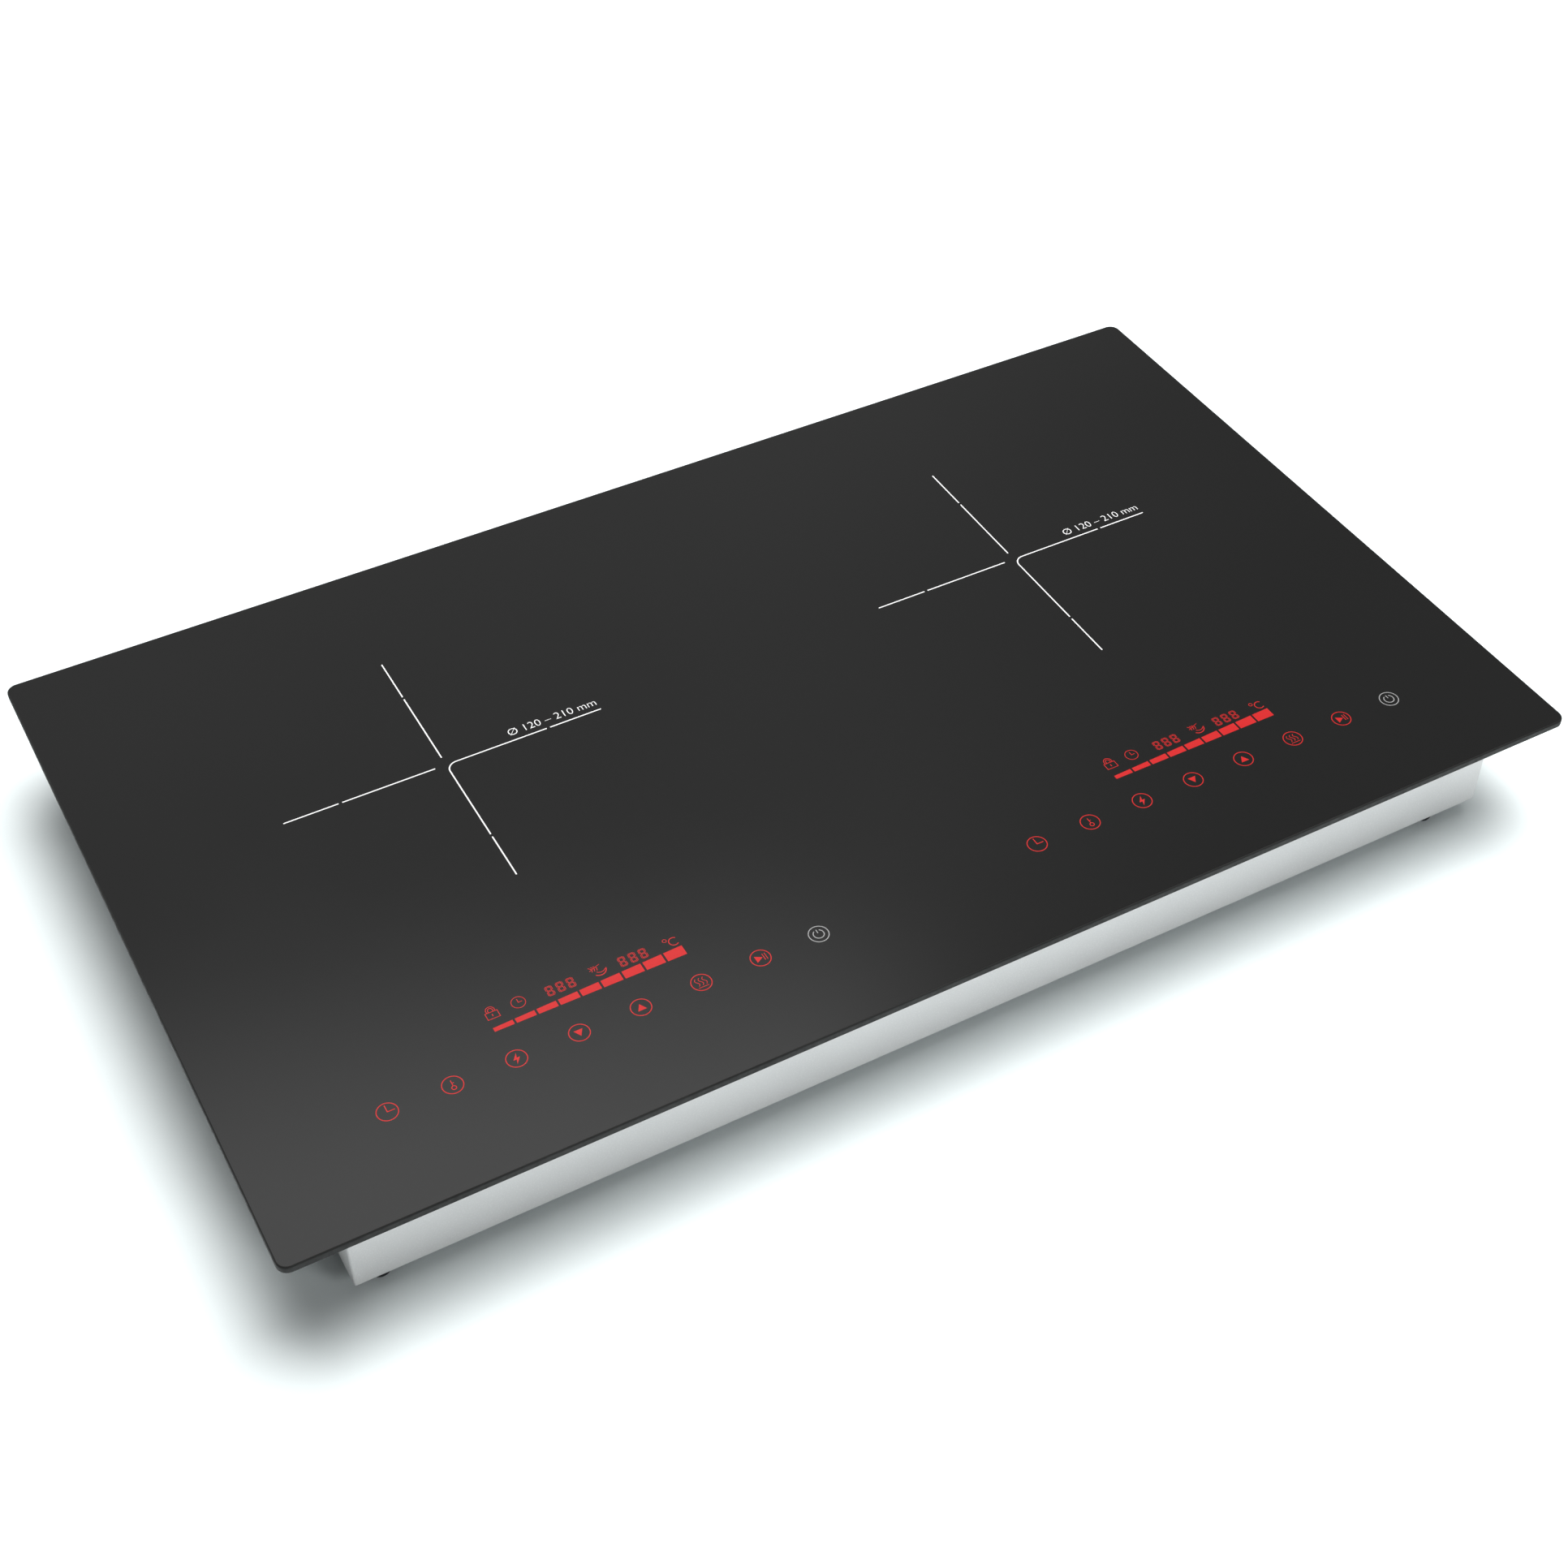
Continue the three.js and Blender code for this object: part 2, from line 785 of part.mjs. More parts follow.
// A square frame with a round bore. Struts below the blades hold the motor and its bearing tube.
function fanFrame() {
  const outline = roundedRectangle(fan.size, fan.size, fan.cornerRadius);
  const bolt = fan.size / 2 - fan.boltInset;
  for (const [x, y] of [[-bolt, -bolt], [bolt, -bolt], [bolt, bolt], [-bolt, bolt]]) {
    outline.holes.push(new THREE.Path().absarc(x, y, fan.boltRadius, 0, 2 * Math.PI, true));
  }
  const struts = spread(fan.struts, 360 / fan.struts).map((angle) =>
    block(0, -fan.strutWidth / 2, 0, fanBore + fan.wall / 2, fan.strutWidth, fan.baseHeight)
      .rotateZ(THREE.MathUtils.degToRad(angle)),
  );
  const tubeRadius = fan.shaftRadius + gap + fan.bearingWall;
  const tubeTop = fan.baseHeight + fan.statorHeight + 2 * gap;
  const shell = cut(solidOf(plate(outline, fan.thickness, 0, 4)), [
    rod(fanBore, -overcut, fan.thickness + overcut, sides.large),
  ]);
  const motorMount = join(rod(fan.hubRadius, 0, fan.baseHeight, sides.medium), [
    ...struts,
    rod(tubeRadius, 0, tubeTop),
  ]);
  const shaftBore = rod(fan.shaftRadius + gap, fan.baseHeight / 2, tubeTop + overcut);
  return geometryOf(cut(shell.add(motorMount), [shaftBore]));
}

function fanStator() {
  const inner = fan.shaftRadius + gap + fan.bearingWall + gap;
  const low = fan.baseHeight + gap;
  return tube(inner, inner + fan.stator, low, low + fan.statorHeight, sides.medium);
}

// One blade, with its section drawn across a radius and pushed outwards from the hub.
function fanBlade(tipRadius) {
  const half = fan.bladeWidth / 2;
  const section = new THREE.Shape()
    .moveTo(-half, 0)
    .quadraticCurveTo(0, fan.bladeCamber, half, 0)
    .lineTo(half, -fan.bladeWall)
    .quadraticCurveTo(0, fan.bladeCamber - fan.bladeWall, -half, -fan.bladeWall);
  return plate(section, tipRadius - fan.hubRadius + fan.hubWall, 0, 3)
    .rotateZ(THREE.MathUtils.degToRad(fan.bladePitch))
    .rotateX(Math.PI / 2)
    .rotateZ(Math.PI / 2)
    .translate(fan.hubRadius - fan.hubWall, 0, fan.baseHeight + fan.hubHeight / 2 + gap);
}

// The rotor: a cup over the stator, with blades round it and a hole for the shaft.
function fanImpeller() {
  const low = fan.baseHeight + gap;
  const high = low + fan.hubHeight;
  const tipRadius = fanBore - fan.tipGap;
  const inner = fan.hubRadius - fan.hubWall;
  const cup = turned(
    [
      [inner, low],
      [fan.hubRadius, low],
      [fan.hubRadius, high],
      [fan.shaftRadius + gap, high],
      [fan.shaftRadius + gap, high - fan.hubWall],
      [inner, high - fan.hubWall],
      [inner, low],
    ],
    sides.medium,
  );
  const blades = spread(fan.blades, 360 / fan.blades).map((angle) =>
    fanBlade(tipRadius + fan.tipGap).rotateZ(THREE.MathUtils.degToRad(angle)),
  );
  const swept = tube(inner + fan.hubWall / 2, tipRadius, low, high, sides.large);
  const bladed = blades.reduce((sum, blade) => sum.add(solidOf(blade)), solidOf(blades[0]));
  return geometryOf(bladed.intersect(solidOf(swept)).add(solidOf(cup)));
}

function fanShaft() {
  const low = fan.baseHeight / 2 + gap;
  return rod(fan.shaftRadius, low, fan.baseHeight + gap + fan.hubHeight);
}

function addFan(side, x) {
  const group = addGroup(cooktop, x, fanMiddle, onFloor);
  addPiece(group, `fan_frame_${side}`, fanFrame(), finish.nylon);
  addPiece(group, `fan_stator_${side}`, fanStator(), finish.copper);
  addPiece(group, `fan_impeller_${side}`, fanImpeller(), finish.nylon);
  addPiece(group, `fan_shaft_${side}`, fanShaft(), finish.steel);
}

// ---------------------------------------------------------------- inverter boards

// A finned extrusion along Y, with a bare ledge behind the fins. Its front edge is at y = 0.
function heatSink() {
  const base = block(-sink.width / 2, 0, 0, sink.width, sink.finLength + sink.ledge, sink.base);
  const fins = spread(sink.fins, (sink.width - sink.finWall) / (sink.fins - 1)).map((x) =>
    block(x - sink.finWall / 2, 0, 0, sink.finWall, sink.finLength, sink.height),
  );
  return geometryOf(join(base, fins));
}

function toroidChoke() {
  const { innerRadius, outerRadius, height, corner } = choke;
  return turned(
    [
      [innerRadius, corner],
      [innerRadius + corner, 0],
      [outerRadius - corner, 0],
      [outerRadius, corner],
      [outerRadius, height - corner],
      [outerRadius - corner, height],
      [innerRadius + corner, height],
      [innerRadius, height - corner],
      [innerRadius, corner],
    ],
    sides.small,
  );
}

function addInverter(side, x) {
  const group = addGroup(cooktop, x, 0);
  const onLedge = onBoard + sink.base + gap;
  const ledgeMiddle = sinkRear - sink.ledge / 2;
  const behindSink = sinkRear + partGap.sink;
  const boardSide = boardWidth / 2 - partGap.edge;
  const box = ({ width, depth, height }) => centredBlock(width, depth, height);
  const circuit = centredBlock(boardWidth, boardDepth, board.thickness);
  const pieces = [
    ["power_board", circuit, finish.circuit, 0, boardMiddle, boardUnder],
    ["heat_sink", heatSink(), finish.aluminium, 0, sinkFront, onBoard],
    ["power_transistor", box(device), finish.epoxy, -device.fromMiddle, ledgeMiddle, onLedge],
    ["bridge_rectifier", box(bridge), finish.epoxy, device.fromMiddle, ledgeMiddle, onLedge],
    ["resonant_capacitor", box(capacitor), finish.film,
      boardSide - capacitor.width / 2, behindSink + capacitor.depth / 2, onBoard],
    ["filter_choke", toroidChoke(), finish.ferrite,
      choke.outerRadius - boardSide, behindSink + choke.outerRadius, onBoard],
  ];
  for (const [name, geometry, look, ...place] of pieces) {
    addPiece(group, `${name}_${side}`, geometry, look).position.set(...place);
  }
}

// ---------------------------------------------------------------- touch panels

// A channel on two legs that holds a touch board by its long edges.
function panelTray() {
  const length = panelLength + 2 * panel.trayMargin;
  const depth = panel.boardDepth + 2 * panel.trayMargin;
  const rimTop = panelBoardUnder - gap;
  const floor = rimTop - panel.trayRim - panel.trayWall;
  const edge = (depth - panel.trayWall) / 2;
  const end = (length - panel.legWidth) / 2;
  const rims = [-edge, edge].map((y) =>
    centredBlock(length, panel.trayWall, rimTop - floor, floor).translate(0, y, 0),
  );
  const legHeight = floor + panel.trayWall - onFloor;
  const legs = [-end, end].map((x) =>
    centredBlock(panel.legWidth, panel.legDepth, legHeight, onFloor).translate(x, 0, 0),
  );
  return geometryOf(join(centredBlock(length, depth, panel.trayWall, floor), [...rims, ...legs]));
}

function addTouchPanel(side, x) {
  const group = addGroup(cooktop, x, panelMiddle);
  const circuit = centredBlock(panelLength, panel.boardDepth, panel.boardThickness, panelBoardUnder);
  const low = panelBoardTop + gap;
  const display = centredBlock(panel.displayLength, panel.displayDepth, underGlass - low, low);
  addPiece(group, `panel_tray_${side}`, panelTray(), finish.nylon);
  addPiece(group, `touch_board_${side}`, circuit, finish.circuit);
  addPiece(group, `led_display_${side}`, display, finish.display).position.y =
    keyRow + panel.displayBehindKeys - panelMiddle;
}

// ---------------------------------------------------------------- the whole cooktop

addPiece(cooktop, "glass_panel", glassPanel(), finish.glass);
addPiece(cooktop, "glass_seal", glassSeal(), finish.silicone);
addRailsAndScrews();
addCasingAndFeet();
addMainsInlet();
for (const { name, x } of zones) {
  addCoil(name, x);
  addFan(name, x);
  addInverter(name, x);
  addTouchPanel(name, x);
}

export default cooktop;
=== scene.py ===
"""Two-zone induction cooktop: the finished surfaces, printed legends and studio around its packed frame."""

import math

import bmesh
import bpy
from mathutils import Matrix, Quaternion, Vector


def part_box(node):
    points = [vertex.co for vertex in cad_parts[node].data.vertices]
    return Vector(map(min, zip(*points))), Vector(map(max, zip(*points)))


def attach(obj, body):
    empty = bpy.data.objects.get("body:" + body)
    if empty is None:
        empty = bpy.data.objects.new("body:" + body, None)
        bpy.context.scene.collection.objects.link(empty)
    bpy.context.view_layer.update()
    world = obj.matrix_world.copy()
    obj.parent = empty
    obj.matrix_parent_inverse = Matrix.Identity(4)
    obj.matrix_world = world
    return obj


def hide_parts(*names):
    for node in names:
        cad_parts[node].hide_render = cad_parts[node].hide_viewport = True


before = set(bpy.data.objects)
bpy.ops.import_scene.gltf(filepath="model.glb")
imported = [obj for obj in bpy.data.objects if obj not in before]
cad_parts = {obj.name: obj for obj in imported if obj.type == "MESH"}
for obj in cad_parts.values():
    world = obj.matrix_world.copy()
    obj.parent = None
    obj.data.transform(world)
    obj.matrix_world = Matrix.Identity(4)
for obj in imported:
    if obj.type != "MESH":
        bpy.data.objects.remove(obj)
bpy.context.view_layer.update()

bl_info = {
    "name": "Induction cooktop",
    "version": (1, 0, 0),
    "blender": (4, 5, 0),
    "location": "View3D > Sidebar > Cooktop",
    "description": "Builds the visible surfaces of a two-zone induction cooktop",
    "category": "Object",
}

MM = 0.001
BODY = "cooktop"
SIDES = ("left", "right")
TURN = 2 * math.pi


# ---------------------------------------------------------------- sizes and colours


def size_prop(name, description, millimetres):
    return bpy.props.FloatProperty(
        name=name, description=description, default=millimetres * MM, unit="LENGTH", precision=5
    )


def colour_prop(name, description, colour):
    return bpy.props.FloatVectorProperty(
        name=name, description=description, default=colour, size=3, subtype="COLOR", min=0, max=1
    )


def angle_prop(name, description, degrees):
    return bpy.props.FloatProperty(
        name=name, description=description, default=math.radians(degrees), subtype="ANGLE"
    )


def number_prop(name, description, value):
    return bpy.props.FloatProperty(name=name, description=description, default=value, precision=4)


class CooktopGlass(bpy.types.PropertyGroup):
    """The glass plate."""

    corner_radius: size_prop("Corner radius", "Radius of the plate's four corners", 6)
    top_round: size_prop("Top edge", "Radius ground on the upper edge", 0.9)
    under_round: size_prop("Lower edge", "Radius ground on the lower edge", 0.3)
    colour: colour_prop("Colour", "Body colour of the glass", (0.0057, 0.0057, 0.0056))
    roughness: number_prop("Roughness", "Roughness of the polished face", 0.1)


class CooktopPrint(bpy.types.PropertyGroup):
    """The ink on the glass and the light that shows through it."""

    thickness: size_prop("Ink thickness", "Height of the ink above the glass", 0.03)
    line: size_prop("Zone line", "Width of the lines that mark a zone", 0.75)
    arm: size_prop("Zone arm", "From a zone's centre to the end of its lines", 90.5)
    arm_break: size_prop("Break", "From a zone's centre to the break in each line", 59.3)
    break_gap: size_prop("Break gap", "Length of the break", 2.0)
    centre_gap: size_prop("Centre gap", "From a zone's centre to the start of the two short lines", 6.2)
    corner: size_prop("Corner", "Radius where the other two lines meet", 5.6)
    text_height: size_prop("Text size", "Type size of the words beside a zone's line", 7.5)
    key_radius: size_prop("Key ring", "Outer radius of the ring round a key", 5.4)
    key_line: size_prop("Key line", "Width of a key's ring and strokes", 0.48)
    key_pitch: size_prop("Key pitch", "From one key to the next", 32.45)
    key_row: size_prop("Key row", "From the front edge of a touch board to its row of keys", 12)
    white: colour_prop("White", "White ink", (0.6, 0.6, 0.6))
    red: colour_prop("Red", "Lit symbols", (1.0, 0.025, 0.027))
    grey: colour_prop("Grey", "Unlit power symbol", (0.22, 0.22, 0.22))
    glow: number_prop("Glow", "Strength of the lit symbols", 0.37)


class CooktopCasing(bpy.types.PropertyGroup):
    """The folded steel casing and what is fixed to it."""

    sheet: size_prop("Sheet", "Thickness of the steel", 0.8)
    corner_radius: size_prop("Corner radius", "Radius of the upright corners", 1.2)
    bend: size_prop("Bend", "Outer radius of the bend round the floor", 1.1)
    slot: size_prop("Slot", "Width of every vent slot", 3.2)
    colour: colour_prop("Colour", "Powder coat", (0.71, 0.705, 0.705))
    rubber: colour_prop("Rubber", "Feet and seals", (0.018, 0.018, 0.019))


class CooktopStudio(bpy.types.PropertyGroup):
    """Floor, lights and camera."""

    floor: colour_prop("Floor", "Colour of the floor", (0.77, 0.825, 0.827))
    tint: colour_prop("Tint", "Colour of the studio's light", (0.995, 1.0, 1.0))
    azimuth: angle_prop("Azimuth", "Direction that the camera looks in, from +Y towards -X", -28.71)
    elevation: angle_prop("Elevation", "Height of the camera above the horizon", 44.51)
    roll: angle_prop("Roll", "Tilt of the camera about its own axis", -0.0727)
    distance: size_prop("Distance", "From the camera to the point that it looks at", 1246.4)
    aim_x: size_prop("Aim X", "From the middle of the glass to the point looked at", -28.25)
    aim_y: size_prop("Aim Y", "From the middle of the glass to the point looked at", -55.95)
    lens: number_prop("Lens", "Focal length on a 36 mm sensor", 54.70)
    sky: number_prop("Sky", "Brightness of the studio overhead", 0.155)
    sky_side: number_prop("Sky side", "Extra brightness of the studio behind the cooktop", 0.175)
    near: number_prop("Near side", "Share of the studio's brightness kept beside and before the cooktop", 0.2)
    horizon: number_prop("Horizon", "Brightness of the studio at floor level", 0.85)
    softbox: number_prop("Softbox", "Extra brightness of the large soft light overhead", 0.98)
    key: number_prop("Key light", "Power of the key light, in watts", 190.0)
    fill: number_prop("Fill light", "Power of the low front light, in watts", 2.4)


GROUPS = {
    "cooktop_glass": CooktopGlass,
    "cooktop_print": CooktopPrint,
    "cooktop_casing": CooktopCasing,
    "cooktop_studio": CooktopStudio,
}


# ---------------------------------------------------------------- outlines and solids


def centre_of(node):
    low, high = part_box(node)
    return (low + high) / 2


def arc(x, y, radius, start, end, steps=4):
    """Points on an arc, from start to end in turns of a circle."""
    angles = [TURN * (start + (end - start) * i / steps) for i in range(steps + 1)]
    return [(x + radius * math.cos(a), y + radius * math.sin(a)) for a in angles]


def circle(radius, steps, x=0.0, y=0.0):
    return arc(x, y, radius, 0, 1, steps)[:-1]


def rounded_outline(half_x, half_y, radius, steps=8):
    points = []
    corners = ((1, 1, 0), (-1, 1, 0.25), (-1, -1, 0.5), (1, -1, 0.75))
    for sx, sy, start in corners:
        points += arc(sx * (half_x - radius), sy * (half_y - radius), radius, start, start + 0.25, steps)
    return points


def slot_outline(length, width, steps=6):
    reach = (length - width) / 2
    return arc(reach, 0, width / 2, -0.25, 0.25, steps) + arc(-reach, 0, width / 2, 0.25, 0.75, steps)


def add_ring(bm, points, z):
    return [bm.verts.new((x, y, z)) for x, y in points]


def add_skin(bm, rings, closed=False):
    """Faces between rings of the same number of vertices."""
    pairs = list(zip(rings, rings[1:]))
    if closed:
        pairs.append((rings[-1], rings[0]))
    for lower, upper in pairs:
        for i in range(len(lower)):
            j = (i + 1) % len(lower)
            bm.faces.new((lower[i], lower[j], upper[j], upper[i]))


def add_capped(bm, rings):
    """A closed solid through the rings, with flat ends."""
    add_skin(bm, rings)
    bm.faces.new(rings[0][::-1])
    bm.faces.new(rings[-1])


def add_prism(bm, outline, low, high):
    bottom = add_ring(bm, outline, low)
    top = add_ring(bm, outline, high)
    add_skin(bm, [bottom, top])
    bm.faces.new(top)
    bm.faces.new(bottom[::-1])


def add_turned(bm, profile, steps):
    """A closed solid turned about Z. A profile that starts and ends on the axis is capped there."""
    on_axis = profile[0][0] == 0
    inner = profile[1:-1] if on_axis else profile
    rings = [add_ring(bm, circle(r, steps), z) for r, z in inner]
    add_skin(bm, rings, closed=not on_axis)
    if on_axis:
        for ring, z in ((rings[0], profile[0][1]), (rings[-1], profile[-1][1])):
            tip = bm.verts.new((0, 0, z))
            for i in range(steps):
                bm.faces.new((tip, ring[(i + 1) % steps], ring[i]))


def add_box(bm, low, high):
    outline = [(low[0], low[1]), (high[0], low[1]), (high[0], high[1]), (low[0], high[1])]
    add_prism(bm, outline, low[2], high[2])


def add_tube(bm, path, radius, sides):
    """A round rod along a path, capped at both ends."""
    side = Vector((0, 0, 1))
    rings = []
    for i, point in enumerate(path):
        along = (path[min(i + 1, len(path) - 1)] - path[max(i - 1, 0)]).normalized()
        side = (side - along * side.dot(along)).normalized()
        other = along.cross(side)
        around = [point + side * (radius * c) + other * (radius * s) for c, s in circle(1, sides)]
        rings.append([bm.verts.new(place) for place in around])
    add_capped(bm, rings)


def moved(bm, matrix, start=0):
    """Moves the vertices that were added after the first `start` ones."""
    bm.verts.ensure_lookup_table()
    bmesh.ops.transform(bm, matrix=matrix, verts=bm.verts[start:])


def mesh_of(bm, name):
    bmesh.ops.recalc_face_normals(bm, faces=bm.faces)
    mesh = bpy.data.meshes.new(name)
    bm.to_mesh(mesh)
    bm.free()
    return mesh


def soften(mesh, degrees=32):
    """Smooth shading, with sharp edges where faces meet at more than this angle."""
    bm = bmesh.new()
    bm.from_mesh(mesh)
    limit = math.radians(degrees)
    for face in bm.faces:
        face.smooth = True
    for edge in bm.edges:
        edge.smooth = len(edge.link_faces) == 2 and edge.calc_face_angle(math.pi) < limit
    bm.to_mesh(mesh)
    bm.free()


def new_object(name, data):
    obj = bpy.data.objects.new(name, data)
    bpy.context.scene.collection.objects.link(obj)
    return obj


def punched(mesh, cutters):
    """The mesh with every closed solid in the cutters' bmesh taken out of it."""
    target = new_object("boolean_target", mesh)
    tool = new_object("boolean_tool", mesh_of(cutters, "boolean_tool"))
    modifier = target.modifiers.new("boolean", "BOOLEAN")
    modifier.operation = "DIFFERENCE"
    modifier.solver = "EXACT"
    modifier.object = tool
    result = bpy.data.meshes.new_from_object(target.evaluated_get(bpy.context.evaluated_depsgraph_get()))
    for obj in (target, tool):
        bpy.data.objects.remove(obj)
    if not result.polygons:
        raise RuntimeError(f"the boolean left nothing of {mesh.name}")
    return result


def add_piece(name, mesh, finish, slot=None, body=BODY, stands_for=(), flat=False):
    """A visible piece, with the finish's material in its one slot. The slot argument is not used."""
    slot = slot or finish
    mesh.name = name
    mesh.materials.clear()
    mesh.materials.append(FINISHES[finish])
    if not flat:
        soften(mesh)
    obj = new_object(name, mesh)
    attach(obj, body)
    if stands_for:
        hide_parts(*stands_for)
    return obj


def even_faces(obj, keep_sharp=True):
    """Keeps large flat faces flat beside rounded edges."""
    modifier = obj.modifiers.new("even faces", "WEIGHTED_NORMAL")
    modifier.keep_sharp = keep_sharp


def round_edges(obj, width, degrees):
    """A small bevel along edges sharper than this angle."""
    edges = obj.modifiers.new("edges", "BEVEL")
    edges.width = width
    edges.segments = 2
    edges.limit_method = "ANGLE"
    edges.angle_limit = math.radians(degrees)


def spread(count, pitch):
    return [(i - (count - 1) / 2) * pitch for i in range(count)]


# ---------------------------------------------------------------- materials


class Finish:
    """A material with a principled shader and its texture nodes, in the piece's own coordinates."""

    def __init__(self, name, colour, roughness, metallic=0.0, **sockets):
        self.material = bpy.data.materials.new(name)
        self.material.use_nodes = True
        self.material.diffuse_color = (*colour, 1)
        self.tree = self.material.node_tree
        self.shader = self.tree.nodes["Principled BSDF"]
        self.place = self.tree.nodes.new("ShaderNodeTexCoord").outputs["Object"]
        self.colour = colour
        values = {"Base Color": (*colour, 1), "Roughness": roughness, "Metallic": metallic, **sockets}
        for socket, value in values.items():
            self.shader.inputs[socket].default_value = value

    def node(self, kind, **inputs):
        node = self.tree.nodes.new(kind)
        for name, value in inputs.items():
            socket = node.inputs[name.replace("_", " ")]
            if isinstance(value, bpy.types.NodeSocket):
                self.tree.links.new(value, socket)
            else:
                socket.default_value = value
        return node

    def stretched(self, x=1, y=1, z=1):
        return self.node("ShaderNodeMapping", Vector=self.place, Scale=(x, y, z)).outputs[0]

    def noise(self, grain, detail=4.0, place=None):
        """Noise whose grain is about this long, in metres."""
        node = self.node("ShaderNodeTexNoise", Vector=place or self.place, Scale=1 / grain, Detail=detail)
        return node.outputs[0]

    def cells(self, grain):
        return self.node("ShaderNodeTexVoronoi", Vector=self.place, Scale=1 / grain).outputs["Distance"]

    def spread_of(self, source, low, high, start=0.3, end=0.7):
        """The source mapped from start..end to low..high."""
        node = self.node("ShaderNodeMapRange", Value=source)
        for name, value in (("From Min", start), ("From Max", end), ("To Min", low), ("To Max", high)):
            node.inputs[name].default_value = value
        return node.outputs[0]

    def tint(self, source, other, start=0.3, end=0.7):
        """Varies the base colour towards another one."""
        share = self.spread_of(source, 0, 1, start, end)
        mix = self.tree.nodes.new("ShaderNodeMix")
        mix.data_type = "RGBA"
        self.tree.links.new(share, mix.inputs["Factor"])
        base = self.shader.inputs["Base Color"]
        if base.is_linked:
            self.tree.links.new(base.links[0].from_socket, mix.inputs[6])
        else:
            mix.inputs[6].default_value = (*self.colour, 1)
        mix.inputs[7].default_value = (*other, 1)
        self.tree.links.new(mix.outputs[2], base)
        return self

    def polish(self, source, low, high, start=0.3, end=0.7):
        self.tree.links.new(self.spread_of(source, low, high, start, end), self.shader.inputs["Roughness"])
        return self

    def relief(self, source, depth, strength=0.5):
        """A bump of this depth, in metres, over any that is there."""
        node = self.node("ShaderNodeBump", Height=source, Distance=depth, Strength=strength)
        normal = self.shader.inputs["Normal"]
        if normal.is_linked:
            self.tree.links.new(normal.links[0].from_socket, node.inputs["Normal"])
        self.tree.links.new(node.outputs[0], normal)
        return self


def lighter(colour, factor):
    return tuple(min(1.0, c * factor) for c in colour)


def make_glass(settings):
    finish = Finish("black_glass", settings.colour, settings.roughness, IOR=1.52)
    smears = finish.noise(0.11, 3)
    finish.tint(finish.noise(0.35, 2), lighter(settings.colour, 1.25))
    finish.polish(smears, settings.roughness - 0.015, settings.roughness + 0.025)
    finish.relief(finish.noise(0.16, 1), 0.00002, 0.3)
    return finish.material


def make_glass_underside():
    finish = Finish("glass_underside", (0.013, 0.013, 0.014), 0.5)
    dimples = finish.cells(0.0028)
    finish.relief(dimples, 0.0003, 0.6)
    finish.tint(finish.noise(0.03), (0.02, 0.02, 0.021))
    finish.polish(finish.noise(0.012), 0.42, 0.6)
    return finish.material


def make_glass_edge(settings):
    """The ground edge, which is matt."""
    finish = Finish("glass_edge", lighter(settings.colour, 2.2), 0.6)
    finish.shader.inputs["Specular IOR Level"].default_value = 0.3
    finish.tint(finish.noise(0.05), lighter(settings.colour, 3.0))
    finish.polish(finish.noise(0.003), 0.5, 0.7)
    finish.relief(finish.noise(0.0005, 2), 0.00002, 0.3)
    return finish.material


def make_ink(name, colour, light=(0, 0, 0), glow=0.0):
    finish = Finish(name, colour, 0.35)
    speckle = finish.noise(0.0006, 2)
    finish.tint(speckle, lighter(colour, 0.9), 0.45, 0.75)
    finish.polish(finish.noise(0.004), 0.28, 0.42)
    finish.relief(speckle, 0.00001, 0.25)
    finish.shader.inputs["Emission Color"].default_value = (*light, 1)
    finish.shader.inputs["Emission Strength"].default_value = glow
    return finish.material


def make_powder_coat(settings):
    finish = Finish("casing_paint", settings.colour, 0.42, 0.25)
    finish.tint(finish.noise(0.09, 3), lighter(settings.colour, 0.95))
    finish.tint(finish.noise(0.0009, 2), lighter(settings.colour, 1.06), 0.5, 0.75)
    finish.polish(finish.noise(0.02), 0.36, 0.48)
    finish.relief(finish.noise(0.0011, 2), 0.00003, 0.3)
    return finish.material


def make_rubber(name, colour):
    finish = Finish(name, colour, 0.78)
    finish.tint(finish.noise(0.006), lighter(colour, 1.9))
    finish.polish(finish.noise(0.002), 0.66, 0.88)
    finish.relief(finish.noise(0.0004, 3), 0.00005, 0.5)
    return finish.material


def make_metal(name, colour, roughness, streak=(1, 1, 1)):
    """A drawn or rolled metal. The streaks run along the axis with the smallest factor."""
    finish = Finish(name, colour, roughness, 1.0)
    lines = finish.noise(0.0012, 4, finish.stretched(*streak))
    finish.tint(lines, lighter(colour, 0.82))
    finish.polish(lines, roughness - 0.08, roughness + 0.1)
    finish.tint(finish.noise(0.015, 3), lighter(colour, 1.06), 0.55, 0.8)
    finish.relief(lines, 0.00002, 0.35)
    return finish.material


def make_plastic(name, colour, roughness, grain=0.0005):
    finish = Finish(name, colour, roughness)
    finish.tint(finish.noise(0.012), lighter(colour, 1.25))
    finish.polish(finish.noise(0.004), roughness - 0.07, roughness + 0.08)
    finish.relief(finish.noise(grain, 3), 0.00003, 0.4)
    return finish.material


def make_copper_wire():
    """Enamelled strands twisted together, so the colour winds round the coil."""
    finish = Finish("copper_wire", (0.62, 0.24, 0.09), 0.34, 0.85)
    strands = finish.node("ShaderNodeTexWave", Vector=finish.stretched(1, 1, 0.4), Scale=420.0, Distortion=3.5)
    strands.bands_direction = "DIAGONAL"
    finish.tint(strands.outputs["Fac"], (0.34, 0.11, 0.035), 0.2, 0.8)
    finish.tint(finish.noise(0.02), (0.72, 0.34, 0.15))
    finish.relief(strands.outputs["Fac"], 0.0002, 0.6)
    return finish.material


